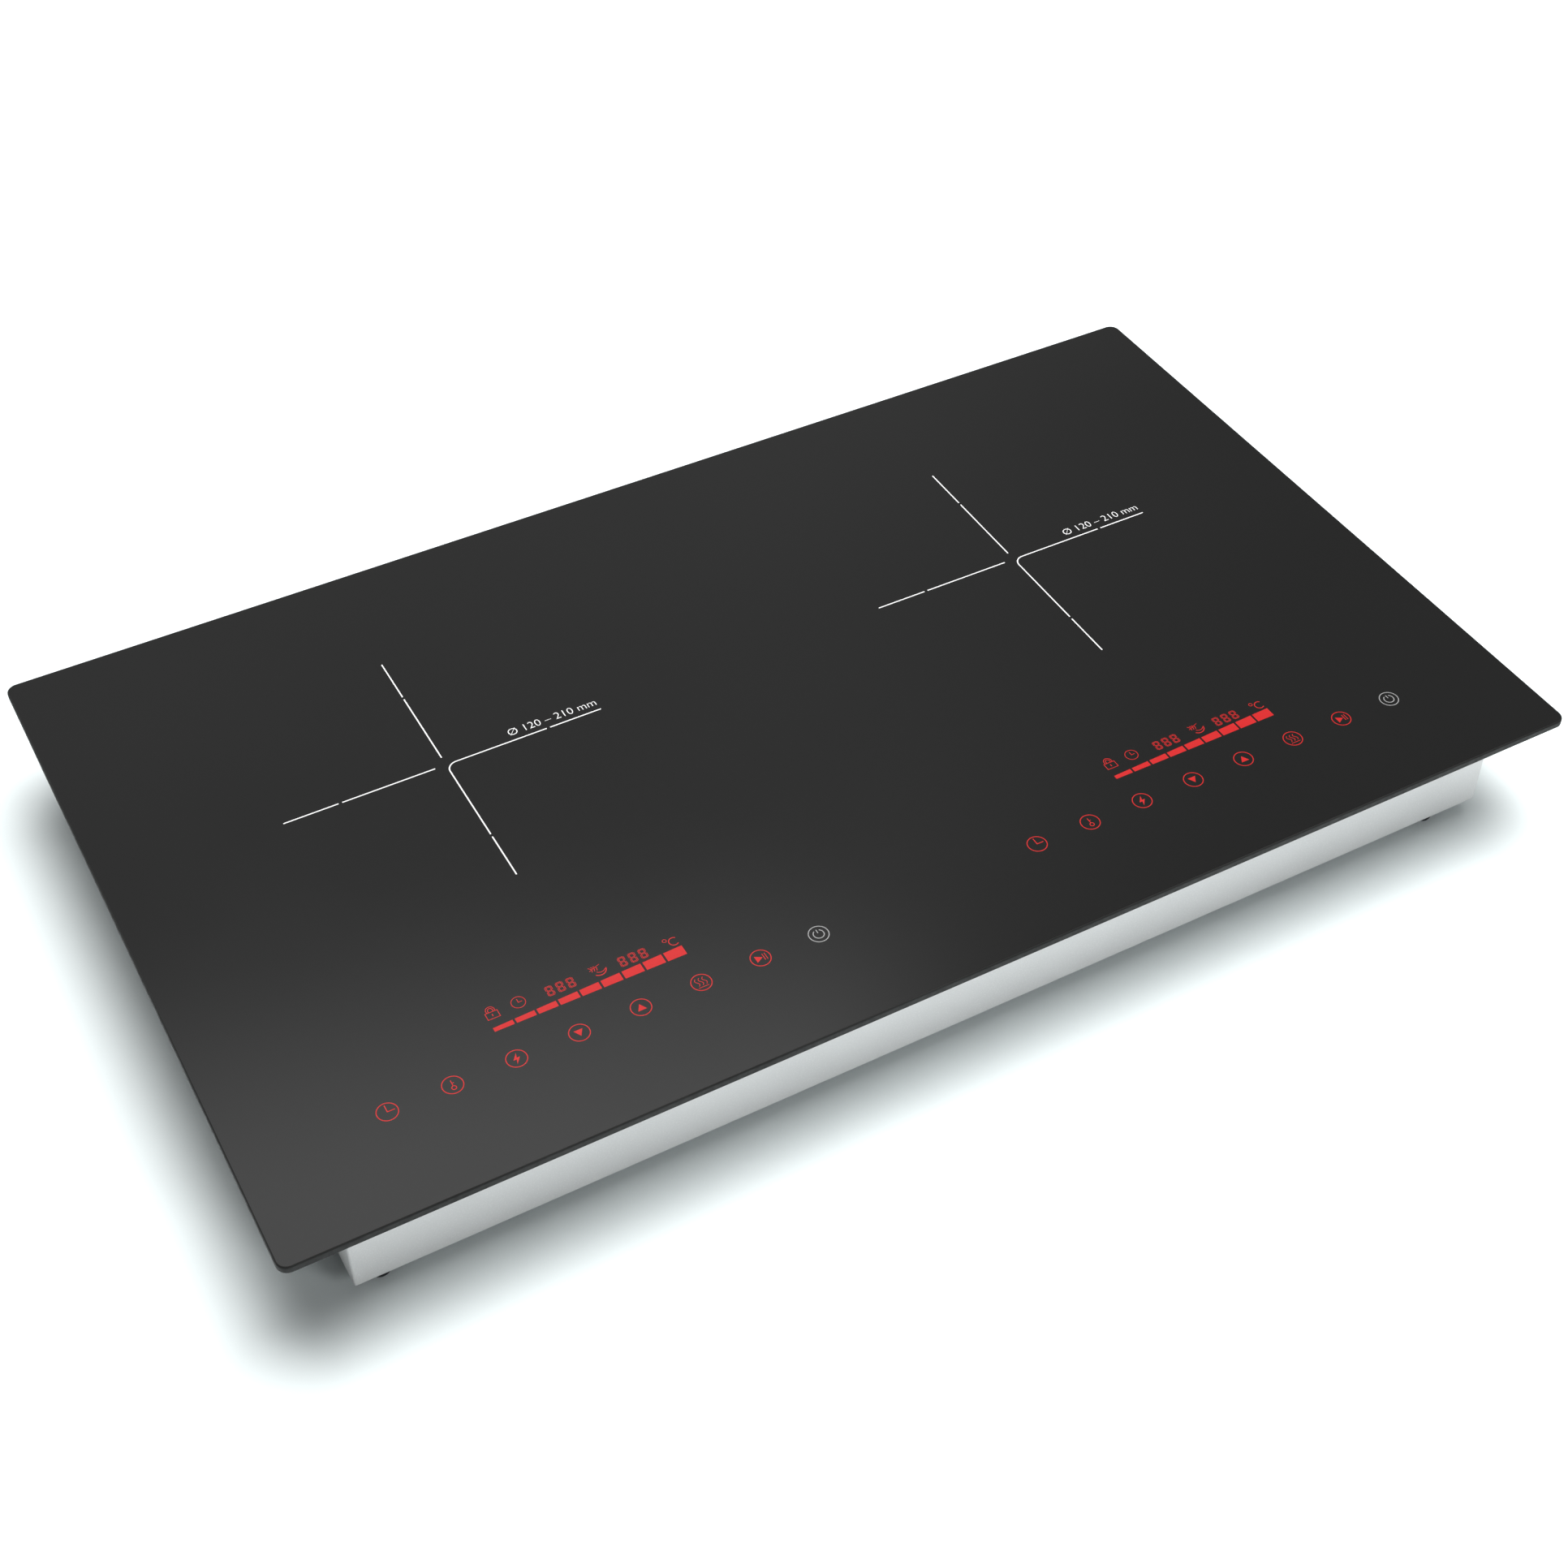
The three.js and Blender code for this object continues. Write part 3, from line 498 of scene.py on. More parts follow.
def make_mica():
    finish = Finish("mica_sheet", (0.52, 0.45, 0.31), 0.42)
    flakes = finish.cells(0.004)
    finish.tint(flakes, (0.66, 0.6, 0.46), 0.1, 0.6)
    finish.tint(finish.noise(0.0015), (0.4, 0.33, 0.21), 0.5, 0.7)
    finish.polish(flakes, 0.28, 0.55, 0.1, 0.6)
    finish.relief(flakes, 0.00006, 0.4)
    return finish.material


def make_circuit_board():
    """Green solder mask over copper tracks."""
    finish = Finish("circuit_board", (0.012, 0.11, 0.045), 0.36)
    tracks = finish.node("ShaderNodeTexBrick", Vector=finish.place, Scale=180.0)
    tracks.inputs["Mortar Size"].default_value = 0.07
    pads = finish.cells(0.006)
    finish.tint(tracks.outputs["Fac"], (0.03, 0.2, 0.08), 0.2, 0.8)
    finish.tint(pads, (0.55, 0.55, 0.5), 0.16, 0.12)
    finish.polish(finish.noise(0.003), 0.3, 0.45)
    finish.relief(tracks.outputs["Fac"], 0.00004, 0.4)
    return finish.material


def make_display():
    finish = Finish("display_window", (0.05, 0.006, 0.006), 0.16)
    finish.tint(finish.cells(0.0018), (0.11, 0.01, 0.01), 0.2, 0.6)
    finish.polish(finish.noise(0.006), 0.12, 0.26)
    return finish.material


def make_floor(settings):
    finish = Finish("studio_floor", settings.floor, 0.7)
    finish.tint(finish.noise(0.5, 2), lighter(settings.floor, 0.985))
    finish.polish(finish.noise(0.05), 0.64, 0.76)
    return finish.material


class Finishes(dict):
    """Each material is made once, when it is first asked for."""

    def __missing__(self, name):
        scene = bpy.context.scene
        casing = scene.cooktop_casing
        ink = scene.cooktop_print
        makers = {
            "black_glass": lambda: make_glass(scene.cooktop_glass),
            "glass_underside": make_glass_underside,
            "glass_edge": lambda: make_glass_edge(scene.cooktop_glass),
            "white_ink": lambda: make_ink("white_ink", ink.white),
            "grey_ink": lambda: make_ink("grey_ink", ink.grey),
            "lit_red": lambda: make_ink("lit_red", lighter(ink.red, 0.18), ink.red, ink.glow),
            "casing_paint": lambda: make_powder_coat(casing),
            "rubber": lambda: make_rubber("foot_rubber", casing.rubber),
            "silicone": lambda: make_rubber("silicone", lighter(casing.rubber, 1.6)),
            "aluminium": lambda: make_metal("extruded_aluminium", (0.62, 0.63, 0.64), 0.36, (1, 1, 12)),
            "steel": lambda: make_metal("zinc_steel", (0.56, 0.56, 0.58), 0.3),
            "nylon": lambda: make_plastic("black_nylon", (0.022, 0.022, 0.024), 0.5),
            "pale_resin": lambda: make_plastic("pale_resin", (0.74, 0.7, 0.6), 0.5, 0.0008),
            "copper": make_copper_wire,
            "mica": make_mica,
            "circuit_board": make_circuit_board,
            "epoxy": lambda: make_plastic("moulded_epoxy", (0.02, 0.02, 0.021), 0.46, 0.0003),
            "capacitor_film": lambda: make_plastic("capacitor_case", (0.55, 0.33, 0.03), 0.3, 0.001),
            "ferrite": lambda: make_plastic("ferrite_core", (0.035, 0.035, 0.038), 0.55, 0.0004),
            "display": make_display,
            "floor": lambda: make_floor(scene.cooktop_studio),
        }
        self[name] = makers[name]()
        return self[name]


FINISHES = Finishes()


def dress(node, finish, bevel):
    """Gives a CAD node its finish and softens its edges with a bevel of this width."""
    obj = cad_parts[node]
    obj.data.materials.clear()
    obj.data.materials.append(FINISHES[finish])
    weld = obj.modifiers.new("weld", "WELD")
    weld.merge_threshold = 0.01 * MM
    round_edges(obj, bevel, 35)
    even_faces(obj, keep_sharp=False)


# ---------------------------------------------------------------- glass and its legends


LEVEL = 0.999  # a face whose normal rises at least this steeply is flat


def glass_mesh(settings, low, high):
    half = (high - low) / 2
    middle = (high + low) / 2
    top, under = settings.top_round, settings.under_round
    profile = arc(under, low.z + under, under, 0.75, 0.5)
    profile += arc(top, high.z - top, top, 0.5, 0.25)
    bm = bmesh.new()
    rings = []
    for inset, z in profile:
        outline = rounded_outline(half.x - inset, half.y - inset, settings.corner_radius - inset, 10)
        rings.append(add_ring(bm, [(x + middle.x, y + middle.y) for x, y in outline], z))
    add_skin(bm, rings)
    bm.faces.new(rings[-1])
    bm.faces.new(rings[0][::-1])
    return mesh_of(bm, "glass_panel")


class COOKTOP_OT_glass(bpy.types.Operator):
    """Build the ground glass plate with its printed underside"""

    bl_idname = "cooktop.glass"
    bl_label = "Glass plate"

    def execute(self, context):
        low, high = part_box("glass_panel")
        mesh = glass_mesh(context.scene.cooktop_glass, low, high)
        plate = add_piece("glass_plate", mesh, "black_glass", stands_for=["glass_panel"])
        for name in ("glass_underside", "glass_edge"):
            plate.data.materials.append(FINISHES[name])
        for face in plate.data.polygons:
            if face.normal.z < -LEVEL:
                face.material_index = 1
            elif face.normal.z < LEVEL:
                face.material_index = 2
        even_faces(plate)
        return {"FINISHED"}


class Ink:
    """Drawing in millimetres from a point on the glass. Every stroke is a closed solid as thick as the ink."""

    def __init__(self, x, y, thickness):
        self.bm = bmesh.new()
        self.x, self.y = x, y
        self.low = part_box("glass_panel")[1].z
        self.high = self.low + thickness

    def placed(self, points):
        return [(self.x + x * MM, self.y + y * MM) for x, y in points]

    def fill(self, points):
        add_prism(self.bm, self.placed(points), self.low, self.high)

    def stroke(self, points, width, closed=False):
        path = [Vector(p) for p in points]
        count = len(path)
        left, right = [], []
        for i, point in enumerate(path):
            before = path[i - 1] if closed or i else point
            after = path[(i + 1) % count] if closed or i < count - 1 else point
            arrive = (point - before).normalized() if before != point else (after - point).normalized()
            leave = (after - point).normalized() if after != point else arrive
            across = (arrive + leave).orthogonal().normalized()
            reach = width / 2 / max(0.35, across.dot(leave.orthogonal().normalized()))
            left.append(point + across * reach)
            right.append(point - across * reach)
        low = [add_ring(self.bm, self.placed(side), self.low) for side in (left, right)]
        high = [add_ring(self.bm, self.placed(side), self.high) for side in (left, right)]
        rings = list(zip(low[0], low[1], high[1], high[0]))
        add_skin(self.bm, rings, closed)
        if not closed:
            self.bm.faces.new(rings[0][::-1])
            self.bm.faces.new(rings[-1])

    def ring(self, x, y, radius, width):
        self.stroke(circle(radius - width / 2, 40, x, y), width, closed=True)

    def arc(self, x, y, radius, width, start, end, steps=20):
        self.stroke(arc(x, y, radius, start, end, steps), width)

    def mesh(self, name):
        return mesh_of(self.bm, name)


def draw_zone_lines(ink, s):
    """Four lines from the middle of a zone. Two of them meet in a rounded corner."""
    arm, cut, space, start, radius = (
        v / MM for v in (s.arm, s.arm_break, s.break_gap, s.centre_gap, s.corner)
    )
    line = s.line / MM
    for dx, dy in ((-1, 0), (0, 1), (1, 0), (0, -1)):
        ink.stroke([(dx * (cut + space / 2), dy * (cut + space / 2)), (dx * arm, dy * arm)], line)
    for dx, dy in ((-1, 0), (0, 1)):
        ink.stroke([(dx * start, dy * start), (dx * (cut - space / 2), dy * (cut - space / 2))], line)
    reach = cut - space / 2
    bend = arc(radius, -radius, radius, 0.25, 0.5, 10)
    ink.stroke([(reach, 0)] + bend + [(0, -reach)], line)


def add_words(name, words, size, x, y, thickness):
    """White type set to the right, flat on the glass, with its strokes thinned a little."""
    curve = bpy.data.curves.new(name, "FONT")
    curve.body = words
    curve.size = size
    curve.align_x = "RIGHT"
    curve.extrude = thickness / 2
    curve.offset = -0.012 * size
    curve.resolution_u = 4
    words_obj = new_object(name, curve)
    depsgraph = bpy.context.evaluated_depsgraph_get()
    mesh = bpy.data.meshes.new_from_object(words_obj.evaluated_get(depsgraph))
    bpy.data.objects.remove(words_obj)
    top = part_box("glass_panel")[1].z
    mesh.transform(Matrix.Translation((x, y, top + thickness / 2)))
    add_piece(name, mesh, "white_ink", "black_glass", flat=True)


def draw_clock(ink, x, y, radius, width, hand):
    ink.ring(x, y, radius, width)
    ink.stroke([(x, y + hand), (x, y), (x + hand * 0.92, y)], width)


def draw_thermometer(ink, x, y, width):
    ink.ring(x, y - 1.8, 1.35, width)
    ink.stroke([(x, y - 0.7), (x, y + 2.9)], width)
    ink.stroke([(x + width / 2, y + 1.1), (x + 1.1, y + 1.1)], width * 0.8)


def draw_bolt(ink, x, y):
    points = ((1.0, 3.3), (-1.9, -0.5), (-0.25, -0.5), (-1.0, -3.3), (1.9, 0.5), (0.25, 0.5))
    ink.fill([(x + u, y + v) for u, v in points])


def draw_triangle(ink, x, y, half, turn):
    """An equilateral triangle that points this part of a turn from +X."""
    points = [(math.cos(TURN * (turn + i / 3)), math.sin(TURN * (turn + i / 3))) for i in range(3)]
    ink.fill([(x + half * u, y + half * v) for u, v in points])


def draw_heat(ink, x, y, width):
    for dx in (-2.0, 0, 2.0):
        wave = [(x + dx + 0.75 * math.sin(TURN * i / 14), y - 1.9 + 4.9 * i / 14) for i in range(15)]
        ink.stroke(wave, width)
    ink.stroke([(x - 2.8, y - 2.9), (x + 2.8, y - 2.9)], width)


def draw_keys(ink, power, s):
    """The row of keys. The last one has its own ink."""
    radius, line, pitch = s.key_radius / MM, s.key_line / MM, s.key_pitch / MM
    places = spread(8, pitch)
    for x in places[1:-1]:
        ink.ring(x, 0, radius, line)
    draw_clock(ink, places[0], 0, radius, line, 4.1)
    draw_thermometer(ink, places[1], 0, line * 0.9)
    draw_bolt(ink, places[2], 0)
    draw_triangle(ink, places[3], 0.5, 2.7, 0.75)
    draw_triangle(ink, places[4], -0.5, 2.7, 0.25)
    draw_heat(ink, places[5], 0, line * 0.7)
    draw_triangle(ink, places[6] - 1.4, 0, 2.5, 0)
    for dx in (1.7, 3.0):
        ink.stroke([(places[6] + dx, -2.1), (places[6] + dx, 2.1)], line * 0.8)
    power.ring(places[7], 0, radius, line)
    power.arc(places[7], 0, 2.75, line, 0.33, 1.17)
    power.stroke([(places[7], 0.7), (places[7], 3.1)], line)


def draw_digit(ink, x, y):
    """Every bar of a seven-bar digit, each drawn as an outline."""
    width, height = 3.7, 6.4
    bar = 0.95
    line = 0.3
    for v in (0, height / 2 - bar / 2, height - bar):
        ink.stroke([(x + 0.5, y + v + 0.17), (x + width - 0.5, y + v + 0.17)], line)
        ink.stroke([(x + 0.5, y + v + bar - 0.17), (x + width - 0.5, y + v + bar - 0.17)], line)
    for u in (0.17, width - bar + 0.17):
        for v in (0.45, height / 2 + 0.45):
            for shift in (0, bar - line):
                ink.stroke([(x + u + shift, y + v), (x + u + shift, y + v + height / 2 - 0.9)], line)


def draw_padlock(ink, x, y, width):
    ink.stroke([(x, y), (x + 6.3, y), (x + 6.3, y + 4.2), (x, y + 4.2)], width, closed=True)
    for radius in (2.2, 1.2):
        bow = arc(x + 3.15, y + 5.4, radius, 0, 0.5, 14)
        ink.stroke([(bow[0][0], y + 4.4)] + bow + [(bow[-1][0], y + 4.4)], width)
    ink.stroke([(x + 3.15, y + 1.4), (x + 3.15, y + 2.8)], width * 1.3)


def draw_steam(ink, x, y, width):
    """A pan's bowl with steam over it."""
    ink.arc(x + 3.9, y + 4.1, 3.7, width * 1.5, 0.62, 0.99)
    ink.arc(x + 4.6, y + 5.2, 3.0, width, 0.62, 0.9)
    for dx in (0, 1.3, 2.6):
        ink.stroke([(x + dx - 0.5, y + 7.2), (x + dx + 1.0, y + 5.6), (x + dx + 0.5, y + 4.0)], width)
    ink.stroke([(x - 0.6, y + 5.0), (x + 5.6, y + 7.3)], width * 0.8)


def draw_display(ink):
    """Icons and digits over a bar graph that grows to the right, from the middle of the display window."""
    line = 0.36
    draw_padlock(ink, -51.0, 0.7, line)
    draw_clock(ink, -33.9, 4.2, 3.7, line, 2.2)
    for x in (-19.5, -13.9, -8.4, 19.3, 24.9, 30.4):
        draw_digit(ink, x, 0.2)
    draw_steam(ink, 4.8, 0.2, line)
    ink.ring(44.9, 5.5, 1.15, 0.32)
    ink.arc(48.9, 3.2, 2.5, 0.5, 0.13, 0.87)
    count, pitch, space, bottom = 9, 11.48, 1.15, -7.2
    start = -count * pitch / 2 + space / 2
    for i in range(count):
        left, right = start + i * pitch, start + (i + 1) * pitch - space
        tops = [bottom + 2.5 + 3.7 * (u - start) / (count * pitch - space) for u in (left, right)]
        ink.fill([(left, bottom), (right, bottom), (right, tops[1]), (left, tops[0])])


class COOKTOP_OT_legends(bpy.types.Operator):
    """Print the zone lines, pan sizes, keys and display symbols on the glass"""

    bl_idname = "cooktop.legends"
    bl_label = "Printed legends"

    def print_ink(self, name, side, ink, finish, slot):
        add_piece(f"{name}_{side}", ink.mesh(name), finish, slot, flat=True)

    def execute(self, context):
        s = context.scene.cooktop_print
        for side in SIDES:
            zone = centre_of(f"coil_winding_{side}")
            lines = Ink(zone.x, zone.y, s.thickness)
            draw_zone_lines(lines, s)
            self.print_ink("zone_lines", side, lines, "white_ink", "black_glass")
            right_end, above_line = zone.x + s.arm, zone.y + 4 * MM
            add_words(f"pan_size_{side}", "Ø 120 – 210 mm", s.text_height, right_end, above_line, s.thickness)
            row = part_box(f"touch_board_{side}")[0].y + s.key_row
            keys = Ink(zone.x, row, s.thickness)
            power = Ink(zone.x, row, s.thickness)
            draw_keys(keys, power, s)
            self.print_ink("key_symbols", side, keys, "lit_red", "display")
            self.print_ink("power_symbol", side, power, "grey_ink", "black_glass")
            window = centre_of(f"led_display_{side}")
            symbols = Ink(window.x, window.y, s.thickness)
            draw_display(symbols)
            self.print_ink("display_symbols", side, symbols, "lit_red", "display")
        return {"FINISHED"}


# ---------------------------------------------------------------- casing, feet, screws and gland


FEET = [f"foot_{end}_{side}" for end in ("front", "rear") for side in SIDES]
WALL_TURNS = {"right": math.pi / 2, "rear": math.pi, "left": -math.pi / 2}
SCREW_TURNS = {f"casing_screw_{wall}_{i}": turn for wall, turn in WALL_TURNS.items() for i in (1, 2)}

# Rows of vent slots: how many, from one to the next, and their length.
FLOOR_SLOTS = (8, 12 * MM, 26 * MM)
REAR_SLOTS = (14, 10 * MM, 24 * MM)
SIDE_SLOTS = (8, 9 * MM, 18 * MM)
UNDER_FAN_SLOTS, UNDER_FAN_PITCH = 9, 8 * MM
REAR_SLOT_HEIGHT, SIDE_SLOT_HEIGHT = 27 * MM, 22 * MM  # of a slot's middle, from the floor's underside

# Radii of the holes for the screws, the gland and the feet's stems.
SCREW_HOLE, GLAND_HOLE, FOOT_HOLE = 2.3 * MM, 8 * MM, 3.1 * MM


def casing_shell(s, low, high):
    """An open tray folded from sheet, with a bend round its floor."""
    half = (high - low) / 2
    middle = (high + low) / 2
    profile = arc(s.bend, low.z + s.bend, s.bend, 0.75, 0.5) + [(0, high.z)]
    inner = s.bend - s.sheet
    profile += [(s.sheet, high.z)] + arc(s.bend, low.z + s.bend, inner, 0.5, 0.75)
    bm = bmesh.new()
    rings = []
    for inset, z in profile:
        outline = rounded_outline(half.x - inset, half.y - inset, s.corner_radius - inset, 5)
        rings.append(add_ring(bm, [(x + middle.x, y + middle.y) for x, y in outline], z))
    add_capped(bm, rings)
    return mesh_of(bm, "lower_casing")


def add_cutter(bm, outline, matrix, depth):
    """A prism of this depth either side of the outline's plane, which the matrix places."""
    start = len(bm.verts)
    add_prism(bm, outline, -depth, depth)
    moved(bm, matrix, start)


def on_wall(x, y, z, turn):
    """A plane on an upright wall. Its own X runs along the wall and its own Z points out of it."""
    return Matrix.Translation((x, y, z)) @ Matrix.Rotation(turn, 4, "Z") @ Matrix.Rotation(math.pi / 2, 4, "X")


def casing_cutters(s, low, high):
    bm = bmesh.new()
    depth = 3 * s.sheet
    upright = Matrix.Rotation(math.pi / 2, 4, "Z")
    rear_z, side_z = low.z + REAR_SLOT_HEIGHT, low.z + SIDE_SLOT_HEIGHT
    for side in SIDES:
        fan = centre_of(f"fan_frame_{side}")
        reach = (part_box(f"fan_frame_{side}")[1].x - fan.x) - 5 * MM
        for dy in spread(UNDER_FAN_SLOTS, UNDER_FAN_PITCH):
            outline = slot_outline(2 * math.sqrt(reach**2 - dy**2), s.slot)
            add_cutter(bm, outline, Matrix.Translation((fan.x, fan.y + dy, low.z)), depth)
        count, pitch, length = FLOOR_SLOTS
        for dx in spread(count, pitch):
            place = Matrix.Translation((fan.x + dx, high.y - 30 * MM, low.z)) @ upright
            add_cutter(bm, slot_outline(length, s.slot), place, depth)
        count, pitch, length = REAR_SLOTS
        for dx in spread(count, pitch):
            place = on_wall(fan.x + dx, high.y, rear_z, math.pi) @ upright
            add_cutter(bm, slot_outline(length, s.slot), place, depth)
        wall_x, turn = (low.x, -math.pi / 2) if side == "left" else (high.x, math.pi / 2)
        count, pitch, length = SIDE_SLOTS
        for dy in spread(count, pitch):
            place = on_wall(wall_x, (low.y + high.y) / 2 + dy, side_z, turn) @ upright
            add_cutter(bm, slot_outline(length, s.slot), place, depth)
    for name, turn in SCREW_TURNS.items():
        add_cutter(bm, circle(SCREW_HOLE, 20), on_wall(*screw_place(name, low, high), turn), depth)
    gland = centre_of("cable_gland")
    add_cutter(bm, circle(GLAND_HOLE, 40), on_wall(gland.x, high.y, gland.z, math.pi), depth)
    for foot in FEET:
        place = centre_of(foot)
        add_cutter(bm, circle(FOOT_HOLE, 24), Matrix.Translation((place.x, place.y, low.z)), depth)
    return bm


def screw_place(name, low, high):
    """Where a screw's axis crosses the outer face of its wall."""
    at = centre_of(name)
    if "rear" in name:
        return at.x, high.y, at.z
    return (low.x if "left" in name else high.x), at.y, at.z


def add_studs(bm, floor_top, sheet):
    """Rods inside the coils' springs and short ones under the power boards."""
    for side in SIDES:
        for i in (1, 2, 3):
            at = centre_of(f"carrier_spring_{side}_{i}")
            start = len(bm.verts)
            r, top, edge = 2.5 * MM, floor_top + 30 * MM, 0.6 * MM
            profile = [(0, floor_top - sheet / 2), (r, floor_top - sheet / 2), (r, top - edge), (r - edge, top)]
            add_turned(bm, profile + [(0, top)], 16)
            moved(bm, Matrix.Translation((at.x, at.y, 0)), start)
        low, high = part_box(f"power_board_{side}")
        inset, r, top = 6 * MM, 3 * MM, low.z - 0.3 * MM
        for x in (low.x + inset, high.x - inset):
            for y in (low.y + inset, high.y - inset):
                start = len(bm.verts)
                add_turned(bm, [(0, floor_top - sheet / 2), (r, floor_top - sheet / 2), (r, top), (0, top)], 16)
                moved(bm, Matrix.Translation((x, y, 0)), start)


class COOKTOP_OT_casing(bpy.types.Operator):
    """Fold the casing, punch its vents and holes and weld its studs"""

    bl_idname = "cooktop.casing"
    bl_label = "Casing"

    def execute(self, context):
        s = context.scene.cooktop_casing
        low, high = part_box("lower_casing")
        shell = punched(casing_shell(s, low, high), casing_cutters(s, low, high))
        bm = bmesh.new()
        bm.from_mesh(shell)
        add_studs(bm, low.z + s.sheet, s.sheet)
        mesh = mesh_of(bm, "casing_shell")
        casing = add_piece("casing_shell", mesh, "casing_paint", stands_for=["lower_casing"])
        round_edges(casing, 0.12 * MM, 40)
        even_faces(casing)
        return {"FINISHED"}


def foot_mesh(low, high):
    """A moulded foot with a dished sole, two grooves and a barbed stem, from its profile in millimetres."""
    height = (high.z - low.z) / MM
    shoulder = 5.7
    half = (high.x - low.x) / 2
    base, rim = (half - 1.5 * MM) / MM, half / MM
    points = [(0, 0.5), (base - 2.2, 0.5), (base - 1.6, 0.0), (base - 0.5, 0.0), (base - 0.12, 0.12)]
    points += [(base + 0.02, 0.5), (base + 0.45, 2.1), (base + 0.2, 2.3), (base + 0.25, 2.7), (base + 0.65, 2.9)]
    points += [(rim - 0.1, 5.2), (rim - 0.35, 5.6), (rim - 0.8, shoulder), (2.6, shoulder), (2.6, 7.1)]
    points += [(4.2, 7.1), (4.2, 7.35), (2.7, height - 0.15), (2.3, height), (0, height)]
    bm = bmesh.new()
    add_turned(bm, [(radius * MM, low.z + z * MM) for radius, z in points], 48)
    return bm


class COOKTOP_OT_feet(bpy.types.Operator):
    """Mould the rubber feet"""

    bl_idname = "cooktop.feet"
    bl_label = "Feet"

    def execute(self, context):
        for name in FEET:
            low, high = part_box(name)
            bm = foot_mesh(low, high)
            moved(bm, Matrix.Translation(((low.x + high.x) / 2, (low.y + high.y) / 2, 0)))
            add_piece(f"rubber_{name}", mesh_of(bm, name), "rubber", stands_for=[name])
        return {"FINISHED"}


# Profiles of a screw and of the gland: radius and height of each point, in millimetres.
SCREW_HEAD = [(0, 2.2), (1.6, 2.16), (2.6, 1.9), (3.3, 1.4), (3.7, 0.8), (3.8, 0.35), (3.75, 0.08), (3.6, 0)]
SCREW_TIP = [(1.3, -7.8), (0.9, -9.2), (0, -9.2)]
THREADS, THREAD_PITCH, CREST, ROOT = 8, 0.8, 1.8, 1.35
GLAND_OUTSIDE = [(7.5, -10.1), (7.5, 0.3), (10.6, 0.3), (11, 0.7), (11, 2.9), (10.6, 3.3), (9, 3.3), (9, 9.9)]
GLAND_MOUTH = [(8.7, 10.9), (6.8, 14.0), (6.5, 14.3), (4.8, 14.3), (4.5, 14.0), (4.5, -10.1)]
GLAND_RIBS = 12


def screw_mesh():
    """A pan-head screw along -Z, head up from its underside at z = 0, with a cross recess."""
    bm = bmesh.new()
    shank = [(CREST, 0)]
    for i in range(THREADS):
        z = -0.9 - i * THREAD_PITCH
        shank += [(ROOT, z), (CREST, z - 0.35), (CREST, z - 0.45)]
    add_turned(bm, [(r * MM, z * MM) for r, z in SCREW_HEAD + shank + SCREW_TIP], 32)
    mesh = mesh_of(bm, "screw")
    for turn in (0, math.pi / 2):
        blade = bmesh.new()  # one bar of the cross
        add_box(blade, (-1.9 * MM, -0.35 * MM, 1.2 * MM), (1.9 * MM, 0.35 * MM, 3 * MM))
        moved(blade, Matrix.Rotation(turn, 4, "Z"))
        mesh = punched(mesh, blade)
    return mesh


class COOKTOP_OT_screws(bpy.types.Operator):
    """Drive the casing screws"""

    bl_idname = "cooktop.screws"
    bl_label = "Casing screws"

    def execute(self, context):
        low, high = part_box("lower_casing")
        pattern = screw_mesh()
        for name, turn in SCREW_TURNS.items():
            mesh = pattern.copy()
            place = on_wall(*screw_place(name, low, high), turn) @ Matrix.Translation((0, 0, 0.3 * MM))
            mesh.transform(place)
            add_piece(f"pan_head_{name}", mesh, "steel", stands_for=[name])
        return {"FINISHED"}


def gland_mesh():
    """A strain relief along Z with its flange on the wall at z = 0, ribbed along its dome."""
    bm = bmesh.new()
    add_turned(bm, [(r * MM, z * MM) for r, z in GLAND_OUTSIDE + GLAND_MOUTH], 48)
    for i in range(GLAND_RIBS):
        start = len(bm.verts)
        add_box(bm, (8.6 * MM, -0.7 * MM, 3.2 * MM), (9.5 * MM, 0.7 * MM, 9.4 * MM))
        moved(bm, Matrix.Rotation(TURN * i / GLAND_RIBS, 4, "Z"), start)
    return mesh_of(bm, "cable_gland")


class COOKTOP_OT_gland(bpy.types.Operator):
    """Mould the cable gland in the rear wall"""

    bl_idname = "cooktop.gland"
    bl_label = "Cable gland"

    def execute(self, context):
        at = centre_of("cable_gland")
        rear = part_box("lower_casing")[1].y
        mesh = gland_mesh()
        mesh.transform(on_wall(at.x, rear, at.z, math.pi))
        piece = add_piece("strain_relief", mesh, "nylon", stands_for=["cable_gland"])
        even_faces(piece)
        dress("gland_nut", "nylon", 0.5 * MM)
        return {"FINISHED"}


# ---------------------------------------------------------------- fans, coils and electronics


FAN_HUB = 15.5 * MM
BLADES = 7
ROOT_PITCH, TWIST, SWEEP = 44, 12, 10  # a blade's angles in degrees: at its root, lost by its tip, and along it
ROOT_CHORD, ADDED_CHORD = 17, 4.5  # a blade's width in millimetres at its root, and gained by its tip


def square_ring(half, radius, count=96):
    """Points of a rounded square at equal angles, to pair with a circle's."""
    points = []
    for x, y in circle(1, count):
        reach = half / max(abs(x), abs(y))
        u, v = x * reach, y * reach
        core = half - radius
        if abs(u) > core and abs(v) > core:
            ax, ay = math.copysign(core, u), math.copysign(core, v)
            b = -(x * ax + y * ay)
            c = ax * ax + ay * ay - radius * radius
            t = -b + math.sqrt(max(0.0, b * b - c))
            u, v = x * t, y * t
        points.append((u, v))
    return points


def add_hollow(bm, outer, inner, low, high):
    """A plate between two outlines with the same number of points."""
    sections = ((inner, low), (outer, low), (outer, high), (inner, high))
    add_skin(bm, [add_ring(bm, outline, z) for outline, z in sections], closed=True)


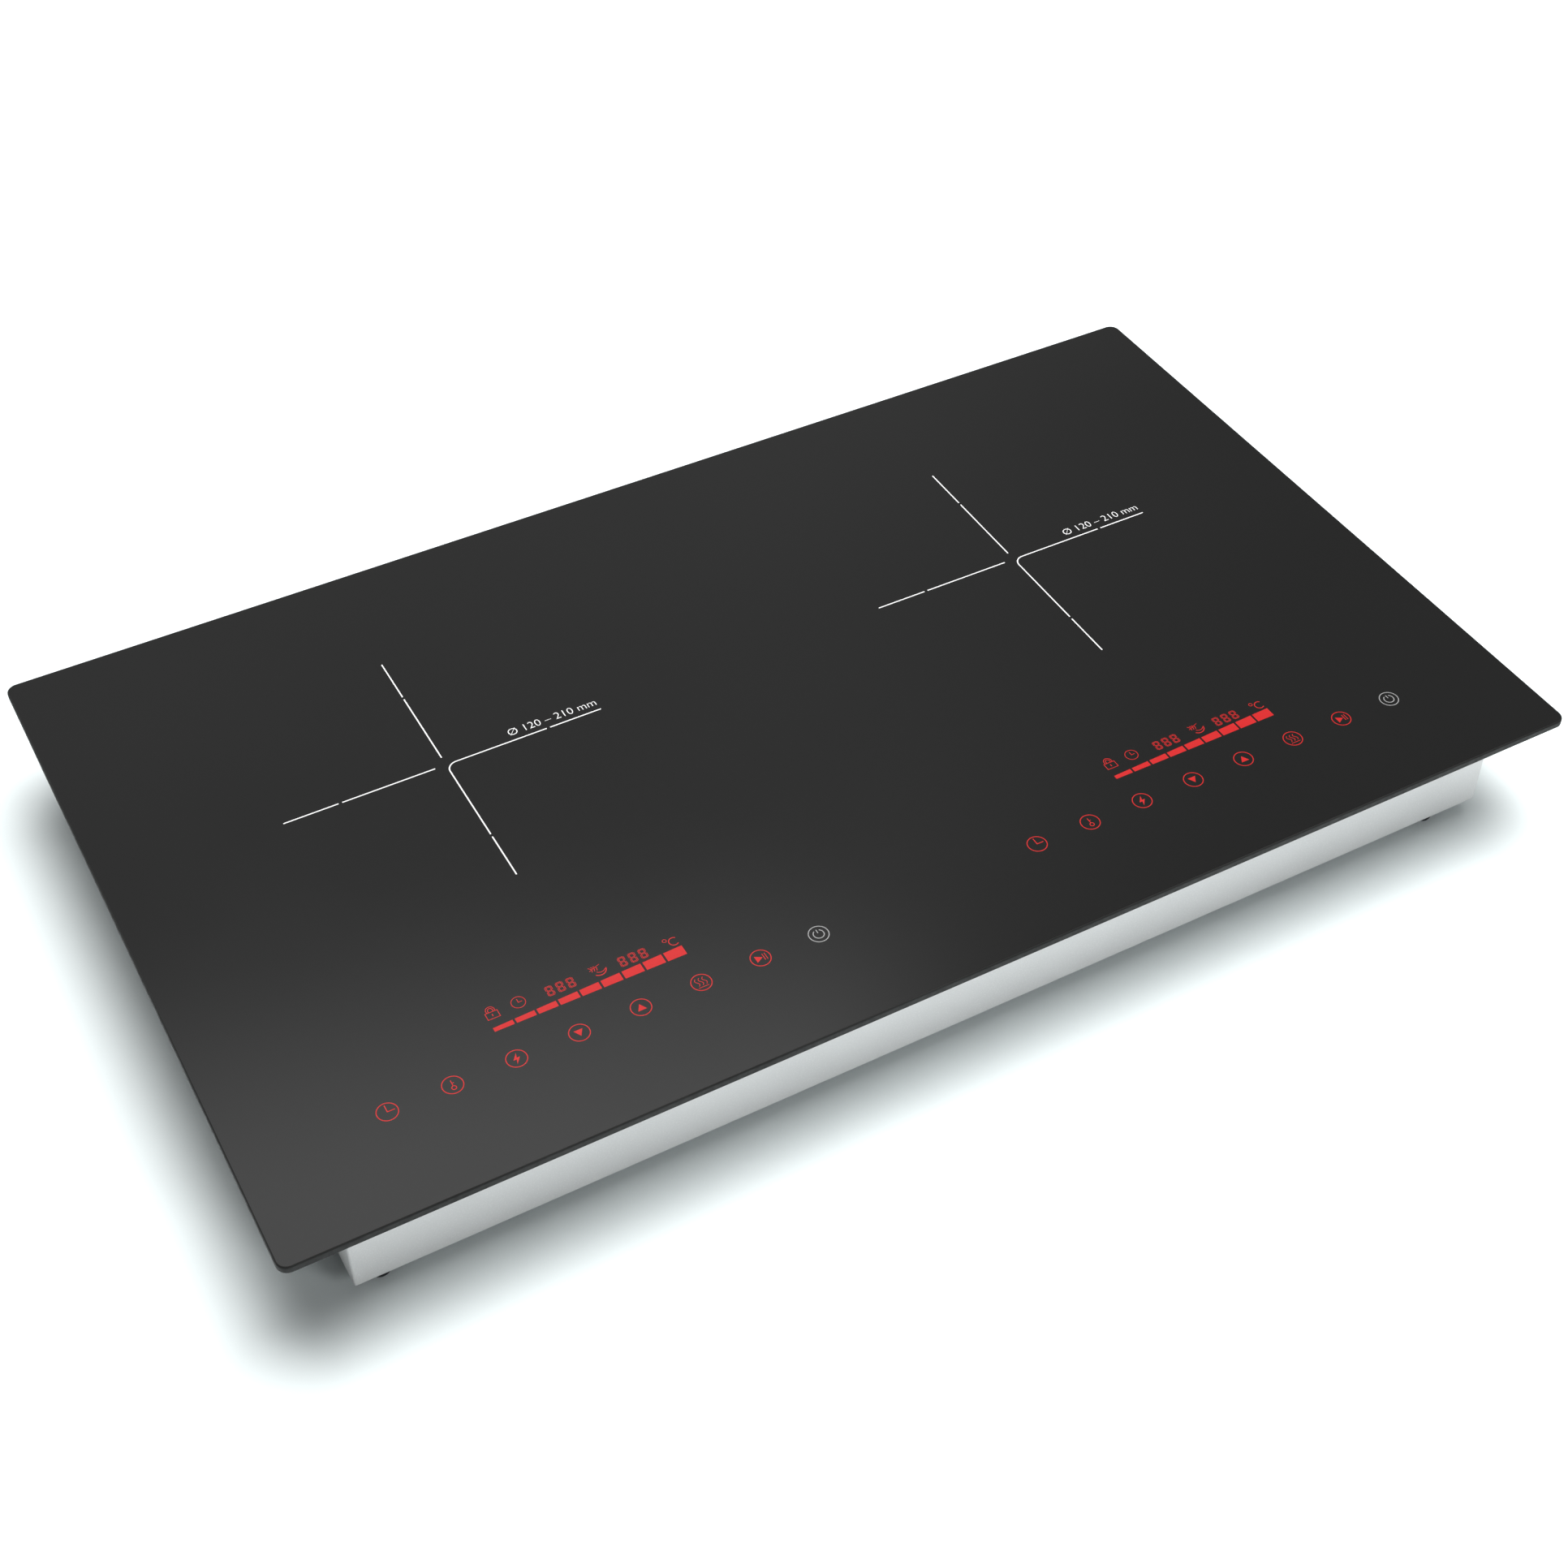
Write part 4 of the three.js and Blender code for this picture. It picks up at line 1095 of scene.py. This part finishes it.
def fan_frame_mesh(low, high):
    """A square axial fan housing: two flanges on a duct, and four struts that carry the hub."""
    half = (high.x - low.x) / 2
    height = high.z - low.z
    bore, duct, flange = half - 2 * MM, half - 0.6 * MM, 3.5 * MM
    bm = bmesh.new()
    for z in (0, height - flange):
        add_hollow(bm, square_ring(half, 5 * MM), circle(bore, 96), z, z + flange)
    add_hollow(bm, circle(duct, 96), circle(bore, 96), flange / 2, height - flange / 2)
    mesh = mesh_of(bm, "fan_frame")
    holes = bmesh.new()
    for x in (-1, 1):
        for y in (-1, 1):
            inset = half - 4.3 * MM
            add_cutter(holes, circle(2.2 * MM, 20), Matrix.Translation((x * inset, y * inset, 0)), 2 * height)
    bm = bmesh.new()
    bm.from_mesh(punched(mesh, holes))
    add_turned(bm, [(0, 0), (15.1 * MM, 0), (FAN_HUB, 0.4 * MM), (FAN_HUB, 3 * MM), (0, 3 * MM)], 48)
    for i in range(4):
        begin = len(bm.verts)
        add_box(bm, (14 * MM, -2.5 * MM, 0.2 * MM), (bore + 0.5 * MM, 2.5 * MM, 2.8 * MM))
        moved(bm, Matrix.Rotation(TURN * (i + 0.5) / 4, 4, "Z"), begin)
    return mesh_of(bm, "fan_frame")


def blade_section(radius, pitch, chord, thickness, camber, count=9):
    """A closed loop round a blade at one distance from the axis."""
    upper, lower = [], []
    for i in range(count):
        t = i / (count - 1)
        u = chord * (t - 0.5)
        bow = camber * 4 * t * (1 - t)
        half = thickness / 2 * math.sqrt(max(0.02, 4 * t * (1 - t)))
        upper.append((u, bow + half))
        lower.append((u, bow - half))
    loop = []
    for u, v in upper + lower[::-1]:
        along = u * math.cos(pitch) - v * math.sin(pitch)
        rise = u * math.sin(pitch) + v * math.cos(pitch)
        angle = along / radius
        loop.append(Vector((radius * math.cos(angle), radius * math.sin(angle), rise)))
    return loop


def impeller_mesh(low, high):
    """Seven swept blades round a cup-shaped hub that is open below."""
    height = high.z - low.z
    reach = (high.x - low.x) / 2
    hub = FAN_HUB
    bm = bmesh.new()
    outer = [(14.0 * MM, 0), (hub, 0), (hub, height - 1.6 * MM), (hub - 0.5 * MM, height - 0.5 * MM)]
    outer += [(hub - 1.8 * MM, height)]
    inner = [(3 * MM, height), (3 * MM, height - 1.5 * MM), (14.0 * MM, height - 1.5 * MM)]
    add_turned(bm, outer + inner, 48)
    tip = min(reach, 36.5 * MM)
    stations = 8
    for i in range(BLADES):
        start = len(bm.verts)
        rings = []
        for k in range(stations):
            share = k / (stations - 1)
            radius = hub - 1 * MM + (tip - hub + 1 * MM) * share
            pitch = math.radians(ROOT_PITCH - TWIST * share)
            loop = blade_section(radius, pitch, (ROOT_CHORD + ADDED_CHORD * share) * MM, 1.5 * MM, 1.6 * MM)
            sweep = Matrix.Rotation(math.radians(SWEEP * share), 3, "Z")
            rings.append([bm.verts.new(sweep @ p + Vector((0, 0, height * 0.47))) for p in loop])
        add_capped(bm, rings)
        moved(bm, Matrix.Rotation(TURN * i / BLADES, 4, "Z"), start)
    return mesh_of(bm, "impeller")


class COOKTOP_OT_fans(bpy.types.Operator):
    """Build the cooling fans. Each impeller turns with its own rotor"""

    bl_idname = "cooktop.fans"
    bl_label = "Cooling fans"

    def execute(self, context):
        for side in SIDES:
            low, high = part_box(f"fan_frame_{side}")
            middle = (low + high) / 2
            mesh = fan_frame_mesh(low, high)
            mesh.transform(Matrix.Translation((middle.x, middle.y, low.z)))
            housing = add_piece(f"fan_housing_{side}", mesh, "nylon", stands_for=[f"fan_frame_{side}"])
            even_faces(housing)
            low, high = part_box(f"fan_impeller_{side}")
            mesh = impeller_mesh(low, high)
            mesh.transform(Matrix.Translation((middle.x, middle.y, low.z)))
            rotor, node = f"fan_rotor_{side}", f"fan_impeller_{side}"
            add_piece(f"impeller_{side}", mesh, "nylon", body=rotor, stands_for=[node])
            dress(f"fan_shaft_{side}", "steel", 0.2 * MM)
            dress(f"fan_stator_{side}", "copper", 0.4 * MM)
        return {"FINISHED"}


WINDING_BORE, WINDING_TURNS = 22 * MM, 19
SPRING_WIRE, SPRING_TURNS = 0.6 * MM, 7  # radius of the wire


def spiral_path(inner, outer, z, turns, steps):
    count = turns * steps
    path = []
    for i in range(count + 1):
        angle = TURN * i / steps
        radius = inner + (outer - inner) * i / count
        path.append(Vector((radius * math.cos(angle), radius * math.sin(angle), z)))
    return path


def helix_path(radius, low, high, turns, steps):
    """A coil spring's line, with its ends closed flat."""
    count = turns * steps
    path = []
    for i in range(count + 1):
        share = i / count
        rise = min(1.0, max(0.0, (share - 0.12) / 0.76))
        angle = TURN * turns * share
        path.append(Vector((radius * math.cos(angle), radius * math.sin(angle), low + (high - low) * rise)))
    return path


class COOKTOP_OT_coils(bpy.types.Operator):
    """Wind the coils and their carriers' springs"""

    bl_idname = "cooktop.coils"
    bl_label = "Coils and springs"

    def execute(self, context):
        for side in SIDES:
            node = f"coil_winding_{side}"
            low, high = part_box(node)
            middle = (low + high) / 2
            outer = (high.x - low.x) / 2
            wire = (high.z - low.z) / 2 - 0.05 * MM
            bm = bmesh.new()
            add_tube(bm, spiral_path(WINDING_BORE + wire, outer - wire, middle.z, WINDING_TURNS, 72), wire, 8)
            moved(bm, Matrix.Translation((middle.x, middle.y, 0)))
            add_piece(f"spiral_{node}", mesh_of(bm, node), "copper", stands_for=[node])
            for i in (1, 2, 3):
                node = f"carrier_spring_{side}_{i}"
                low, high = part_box(node)
                middle = (low + high) / 2
                wire = SPRING_WIRE
                radius = (high.x - low.x) / 2 - wire
                bm = bmesh.new()
                path = helix_path(radius, low.z + wire, high.z - wire, SPRING_TURNS, 24)
                add_tube(bm, path, wire, 8)
                moved(bm, Matrix.Translation((middle.x, middle.y, 0)))
                add_piece(f"coiled_{node}", mesh_of(bm, node), "steel", stands_for=[node])
            dress(f"coil_carrier_{side}", "pale_resin", 0.5 * MM)
            dress(f"mica_sheet_{side}", "mica", 0.1 * MM)
            dress(f"temperature_sensor_{side}", "silicone", 0.4 * MM)
        return {"FINISHED"}


CHOKE_BORE = 8 * MM
WINDING_ROOM = 1.3 * MM  # left round the core for its wire


def choke_mesh(low, high):
    """A powder-coated ring core standing flat, with room left round it for its wire."""
    outer, inner = (high.x - low.x) / 2 - WINDING_ROOM, CHOKE_BORE + WINDING_ROOM
    height = high.z - low.z - 2 * WINDING_ROOM
    bm = bmesh.new()
    edge = 1.6 * MM
    base = WINDING_ROOM
    profile = arc(outer - edge, base + edge, edge, -0.25, 0)
    profile += arc(outer - edge, base + height - edge, edge, 0, 0.25)
    profile += arc(inner + edge, base + height - edge, edge, 0.25, 0.5)
    profile += arc(inner + edge, base + edge, edge, 0.5, 0.75)
    add_turned(bm, profile, 48)
    return bm


def choke_wire(low, high):
    """Wire wound round the core, with a gap between its ends."""
    outer, inner = (high.x - low.x) / 2 - WINDING_ROOM / 2, CHOKE_BORE + WINDING_ROOM / 2
    height = high.z - low.z - WINDING_ROOM
    wire = 0.6 * MM
    middle, half = (outer + inner) / 2, (outer - inner) / 2
    turns, steps = 24, 24
    path = []
    for i in range(turns * steps + 1):
        a = TURN * i / steps
        round_core = TURN * (0.06 + 0.88 * i / (turns * steps))
        power = 0.45
        u = math.copysign(abs(math.cos(a)) ** power, math.cos(a))
        v = math.copysign(abs(math.sin(a)) ** power, math.sin(a))
        radius = middle + half * u
        z = (high.z - low.z) / 2 + height / 2 * v
        path.append(Vector((radius * math.cos(round_core), radius * math.sin(round_core), z)))
    bm = bmesh.new()
    add_tube(bm, path, wire, 6)
    return bm


class COOKTOP_OT_electronics(bpy.types.Operator):
    """Finish the boards, the parts on them, the touch panels and the mains terminals"""

    bl_idname = "cooktop.electronics"
    bl_label = "Electronics"

    def execute(self, context):
        finishes = {
            "power_board": "circuit_board",
            "heat_sink": "aluminium",
            "power_transistor": "epoxy",
            "bridge_rectifier": "epoxy",
            "resonant_capacitor": "capacitor_film",
            "panel_tray": "nylon",
            "touch_board": "circuit_board",
            "led_display": "display",
        }
        for side in SIDES:
            for node, finish in finishes.items():
                dress(f"{node}_{side}", finish, 0.25 * MM)
            node = f"filter_choke_{side}"
            low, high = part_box(node)
            middle = (low + high) / 2
            place = Matrix.Translation((middle.x, middle.y, low.z))
            core, wire = choke_mesh(low, high), choke_wire(low, high)
            moved(core, place)
            moved(wire, place)
            add_piece(f"choke_core_{side}", mesh_of(core, node), "ferrite", stands_for=[node])
            add_piece(f"choke_wire_{side}", mesh_of(wire, node), "copper")
        dress("mains_terminal", "pale_resin", 0.4 * MM)
        return {"FINISHED"}


class COOKTOP_OT_rails(bpy.types.Operator):
    """Finish the rails and the bead of silicone under the glass"""

    bl_idname = "cooktop.rails"
    bl_label = "Rails and seal"

    def execute(self, context):
        for wall in ("front", "right", "rear", "left"):
            dress(f"glass_rail_{wall}", "aluminium", 0.2 * MM)
        dress("glass_seal", "silicone", 0.15 * MM)
        return {"FINISHED"}


# ---------------------------------------------------------------- studio


# Size and place of each light, in metres.
KEY_SIZE, KEY_PLACE = (2.9, 2.7), (0.64, 0.48, 2.7)
FILL_SIZE, FILL_PLACE, FILL_COLOUR = (0.3, 0.2), (0.06, -0.9, 0.36), (0.97, 0.99, 1.0)

# Bearings from +Y towards +X, in degrees, over which each part of the studio's light fades.
SIDE_FADE, RIGHT_FADE, LEFT_FADE = (28, 46), (29, 38.5), (-25, 0)
BRIGHT_BEARING, NEAR_FADE = 20, (50, 85)

# Heights of a direction over which they fade, from 0 at the horizon to 1 straight up.
LOW_BAND, SOFTBOX_EDGE = (-0.1, 0.4), (0.715, 0.802)


def add_area(name, power, size, location, target, colour=(1, 1, 1)):
    light = bpy.data.lights.new(name, "AREA")
    light.shape = "RECTANGLE"
    light.size, light.size_y = size
    light.energy = power
    light.color = colour
    obj = new_object(name, light)
    obj.location = location
    obj.rotation_euler = (Vector(target) - Vector(location)).to_track_quat("-Z", "Y").to_euler()
    obj.visible_glossy = False
    obj.visible_camera = False


def add_floor():
    """A wide flat sheet that the feet stand on."""
    floor_z = min(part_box(foot)[0].z for foot in FEET)
    bm = bmesh.new()
    bmesh.ops.create_grid(bm, x_segments=60, y_segments=60, size=2)
    mesh = mesh_of(bm, "studio_floor")
    mesh.transform(Matrix.Translation((0, 0, floor_z)))
    mesh.materials.append(FINISHES["floor"])
    floor = new_object("studio_floor", mesh)


def add_sky(settings):
    """A plain studio that is bright at floor level and dimmer overhead, with one large soft light."""
    world = bpy.data.worlds.new("studio")
    bpy.context.scene.world = world
    world.use_nodes = True
    tree = world.node_tree
    nodes, links = tree.nodes, tree.links
    direction = nodes.new("ShaderNodeTexCoord").outputs["Generated"]

    def math_node(operation, *values):
        node = nodes.new("ShaderNodeMath")
        node.operation = operation
        for socket, value in zip(node.inputs, values):
            if isinstance(value, bpy.types.NodeSocket):
                links.new(value, socket)
            else:
                socket.default_value = value
        return node.outputs[0]

    def turned(value, fade, low, high):
        return ramp(value, [math.radians(angle) for angle in fade], low, high)

    def ramp(value, fade, low, high):
        start, end = fade
        node = nodes.new("ShaderNodeMapRange")
        node.interpolation_type = "SMOOTHSTEP"
        links.new(value, node.inputs["Value"])
        for name, number in (("From Min", start), ("From Max", end), ("To Min", low), ("To Max", high)):
            node.inputs[name].default_value = number
        return node.outputs[0]

    split = nodes.new("ShaderNodeSeparateXYZ")
    links.new(direction, split.inputs[0])
    x, y, z = split.outputs
    bearing = math_node("ARCTAN2", x, y)
    low_band = ramp(z, LOW_BAND, settings.horizon - settings.sky, 0.0)
    side = turned(bearing, SIDE_FADE, settings.sky_side, 0.0)
    right = turned(bearing, RIGHT_FADE, 1.0, 0.0)
    left = turned(bearing, LEFT_FADE, 0.0, 1.0)
    up = ramp(z, SOFTBOX_EDGE, 0.0, settings.softbox)
    glow = math_node("MULTIPLY", math_node("MULTIPLY", left, right), up)
    around = math_node("ADD", math_node("ADD", low_band, settings.sky), side)
    aside = math_node("ABSOLUTE", math_node("SUBTRACT", bearing, math.radians(BRIGHT_BEARING)))
    keep = turned(aside, NEAR_FADE, 1.0, settings.near)
    total = math_node("ADD", math_node("MULTIPLY", around, keep), glow)
    seen = nodes.new("ShaderNodeLightPath").outputs["Is Camera Ray"]
    strength = math_node("MAXIMUM", total, seen)
    background = nodes["Background"]
    background.inputs["Color"].default_value = (*settings.tint, 1)
    links.new(strength, background.inputs["Strength"])


class COOKTOP_OT_studio(bpy.types.Operator):
    """Set out the floor, the lights and the camera"""

    bl_idname = "cooktop.studio"
    bl_label = "Studio"

    def execute(self, context):
        s = context.scene.cooktop_studio
        add_floor()
        add_sky(s)
        low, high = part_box("glass_panel")
        target = ((low.x + high.x) / 2, (low.y + high.y) / 2, 0)
        add_area("key_light", s.key, KEY_SIZE, KEY_PLACE, target)
        add_area("fill_light", s.fill, FILL_SIZE, FILL_PLACE, target, FILL_COLOUR)
        aim = Vector(((low.x + high.x) / 2 + s.aim_x, (low.y + high.y) / 2 + s.aim_y, high.z))
        flat = math.cos(s.elevation)
        back = Vector((math.sin(s.azimuth) * flat, -math.cos(s.azimuth) * flat, math.sin(s.elevation)))
        data = bpy.data.cameras.new("camera")
        data.lens = s.lens
        data.sensor_width = 36
        camera = new_object("camera", data)
        camera.location = aim + back * s.distance
        level = (-back).to_track_quat("-Z", "Y")
        camera.rotation_euler = (level @ Quaternion((0, 0, 1), s.roll)).to_euler()
        context.scene.camera = camera
        context.scene.view_settings.view_transform = "Standard"
        return {"FINISHED"}


# ---------------------------------------------------------------- panel, registration and the run

OPERATORS = (
    COOKTOP_OT_glass,
    COOKTOP_OT_legends,
    COOKTOP_OT_rails,
    COOKTOP_OT_casing,
    COOKTOP_OT_feet,
    COOKTOP_OT_screws,
    COOKTOP_OT_gland,
    COOKTOP_OT_fans,
    COOKTOP_OT_coils,
    COOKTOP_OT_electronics,
    COOKTOP_OT_studio,
)


class COOKTOP_PT_panel(bpy.types.Panel):
    """The cooktop's pieces, each with its button, and their sizes and colours."""

    bl_idname = "COOKTOP_PT_panel"
    bl_label = "Induction cooktop"
    bl_space_type = "VIEW_3D"
    bl_region_type = "UI"
    bl_category = "Cooktop"

    def draw(self, context):
        layout = self.layout
        for operator in OPERATORS:
            layout.operator(operator.bl_idname)
        for name, group in GROUPS.items():
            box = layout.box()
            box.label(text=group.__doc__)
            for prop in group.__annotations__:
                box.prop(getattr(context.scene, name), prop)


CLASSES = (*GROUPS.values(), *OPERATORS, COOKTOP_PT_panel)


def register():
    for cls in CLASSES:
        bpy.utils.register_class(cls)
    for name, group in GROUPS.items():
        setattr(bpy.types.Scene, name, bpy.props.PointerProperty(type=group))


def unregister():
    for name in GROUPS:
        delattr(bpy.types.Scene, name)
    for cls in reversed(CLASSES):
        bpy.utils.unregister_class(cls)


def main():
    register()
    for operator in OPERATORS:
        category, name = operator.bl_idname.split(".")
        getattr(getattr(bpy.ops, category), name)()


if __name__ == "__main__":
    main()
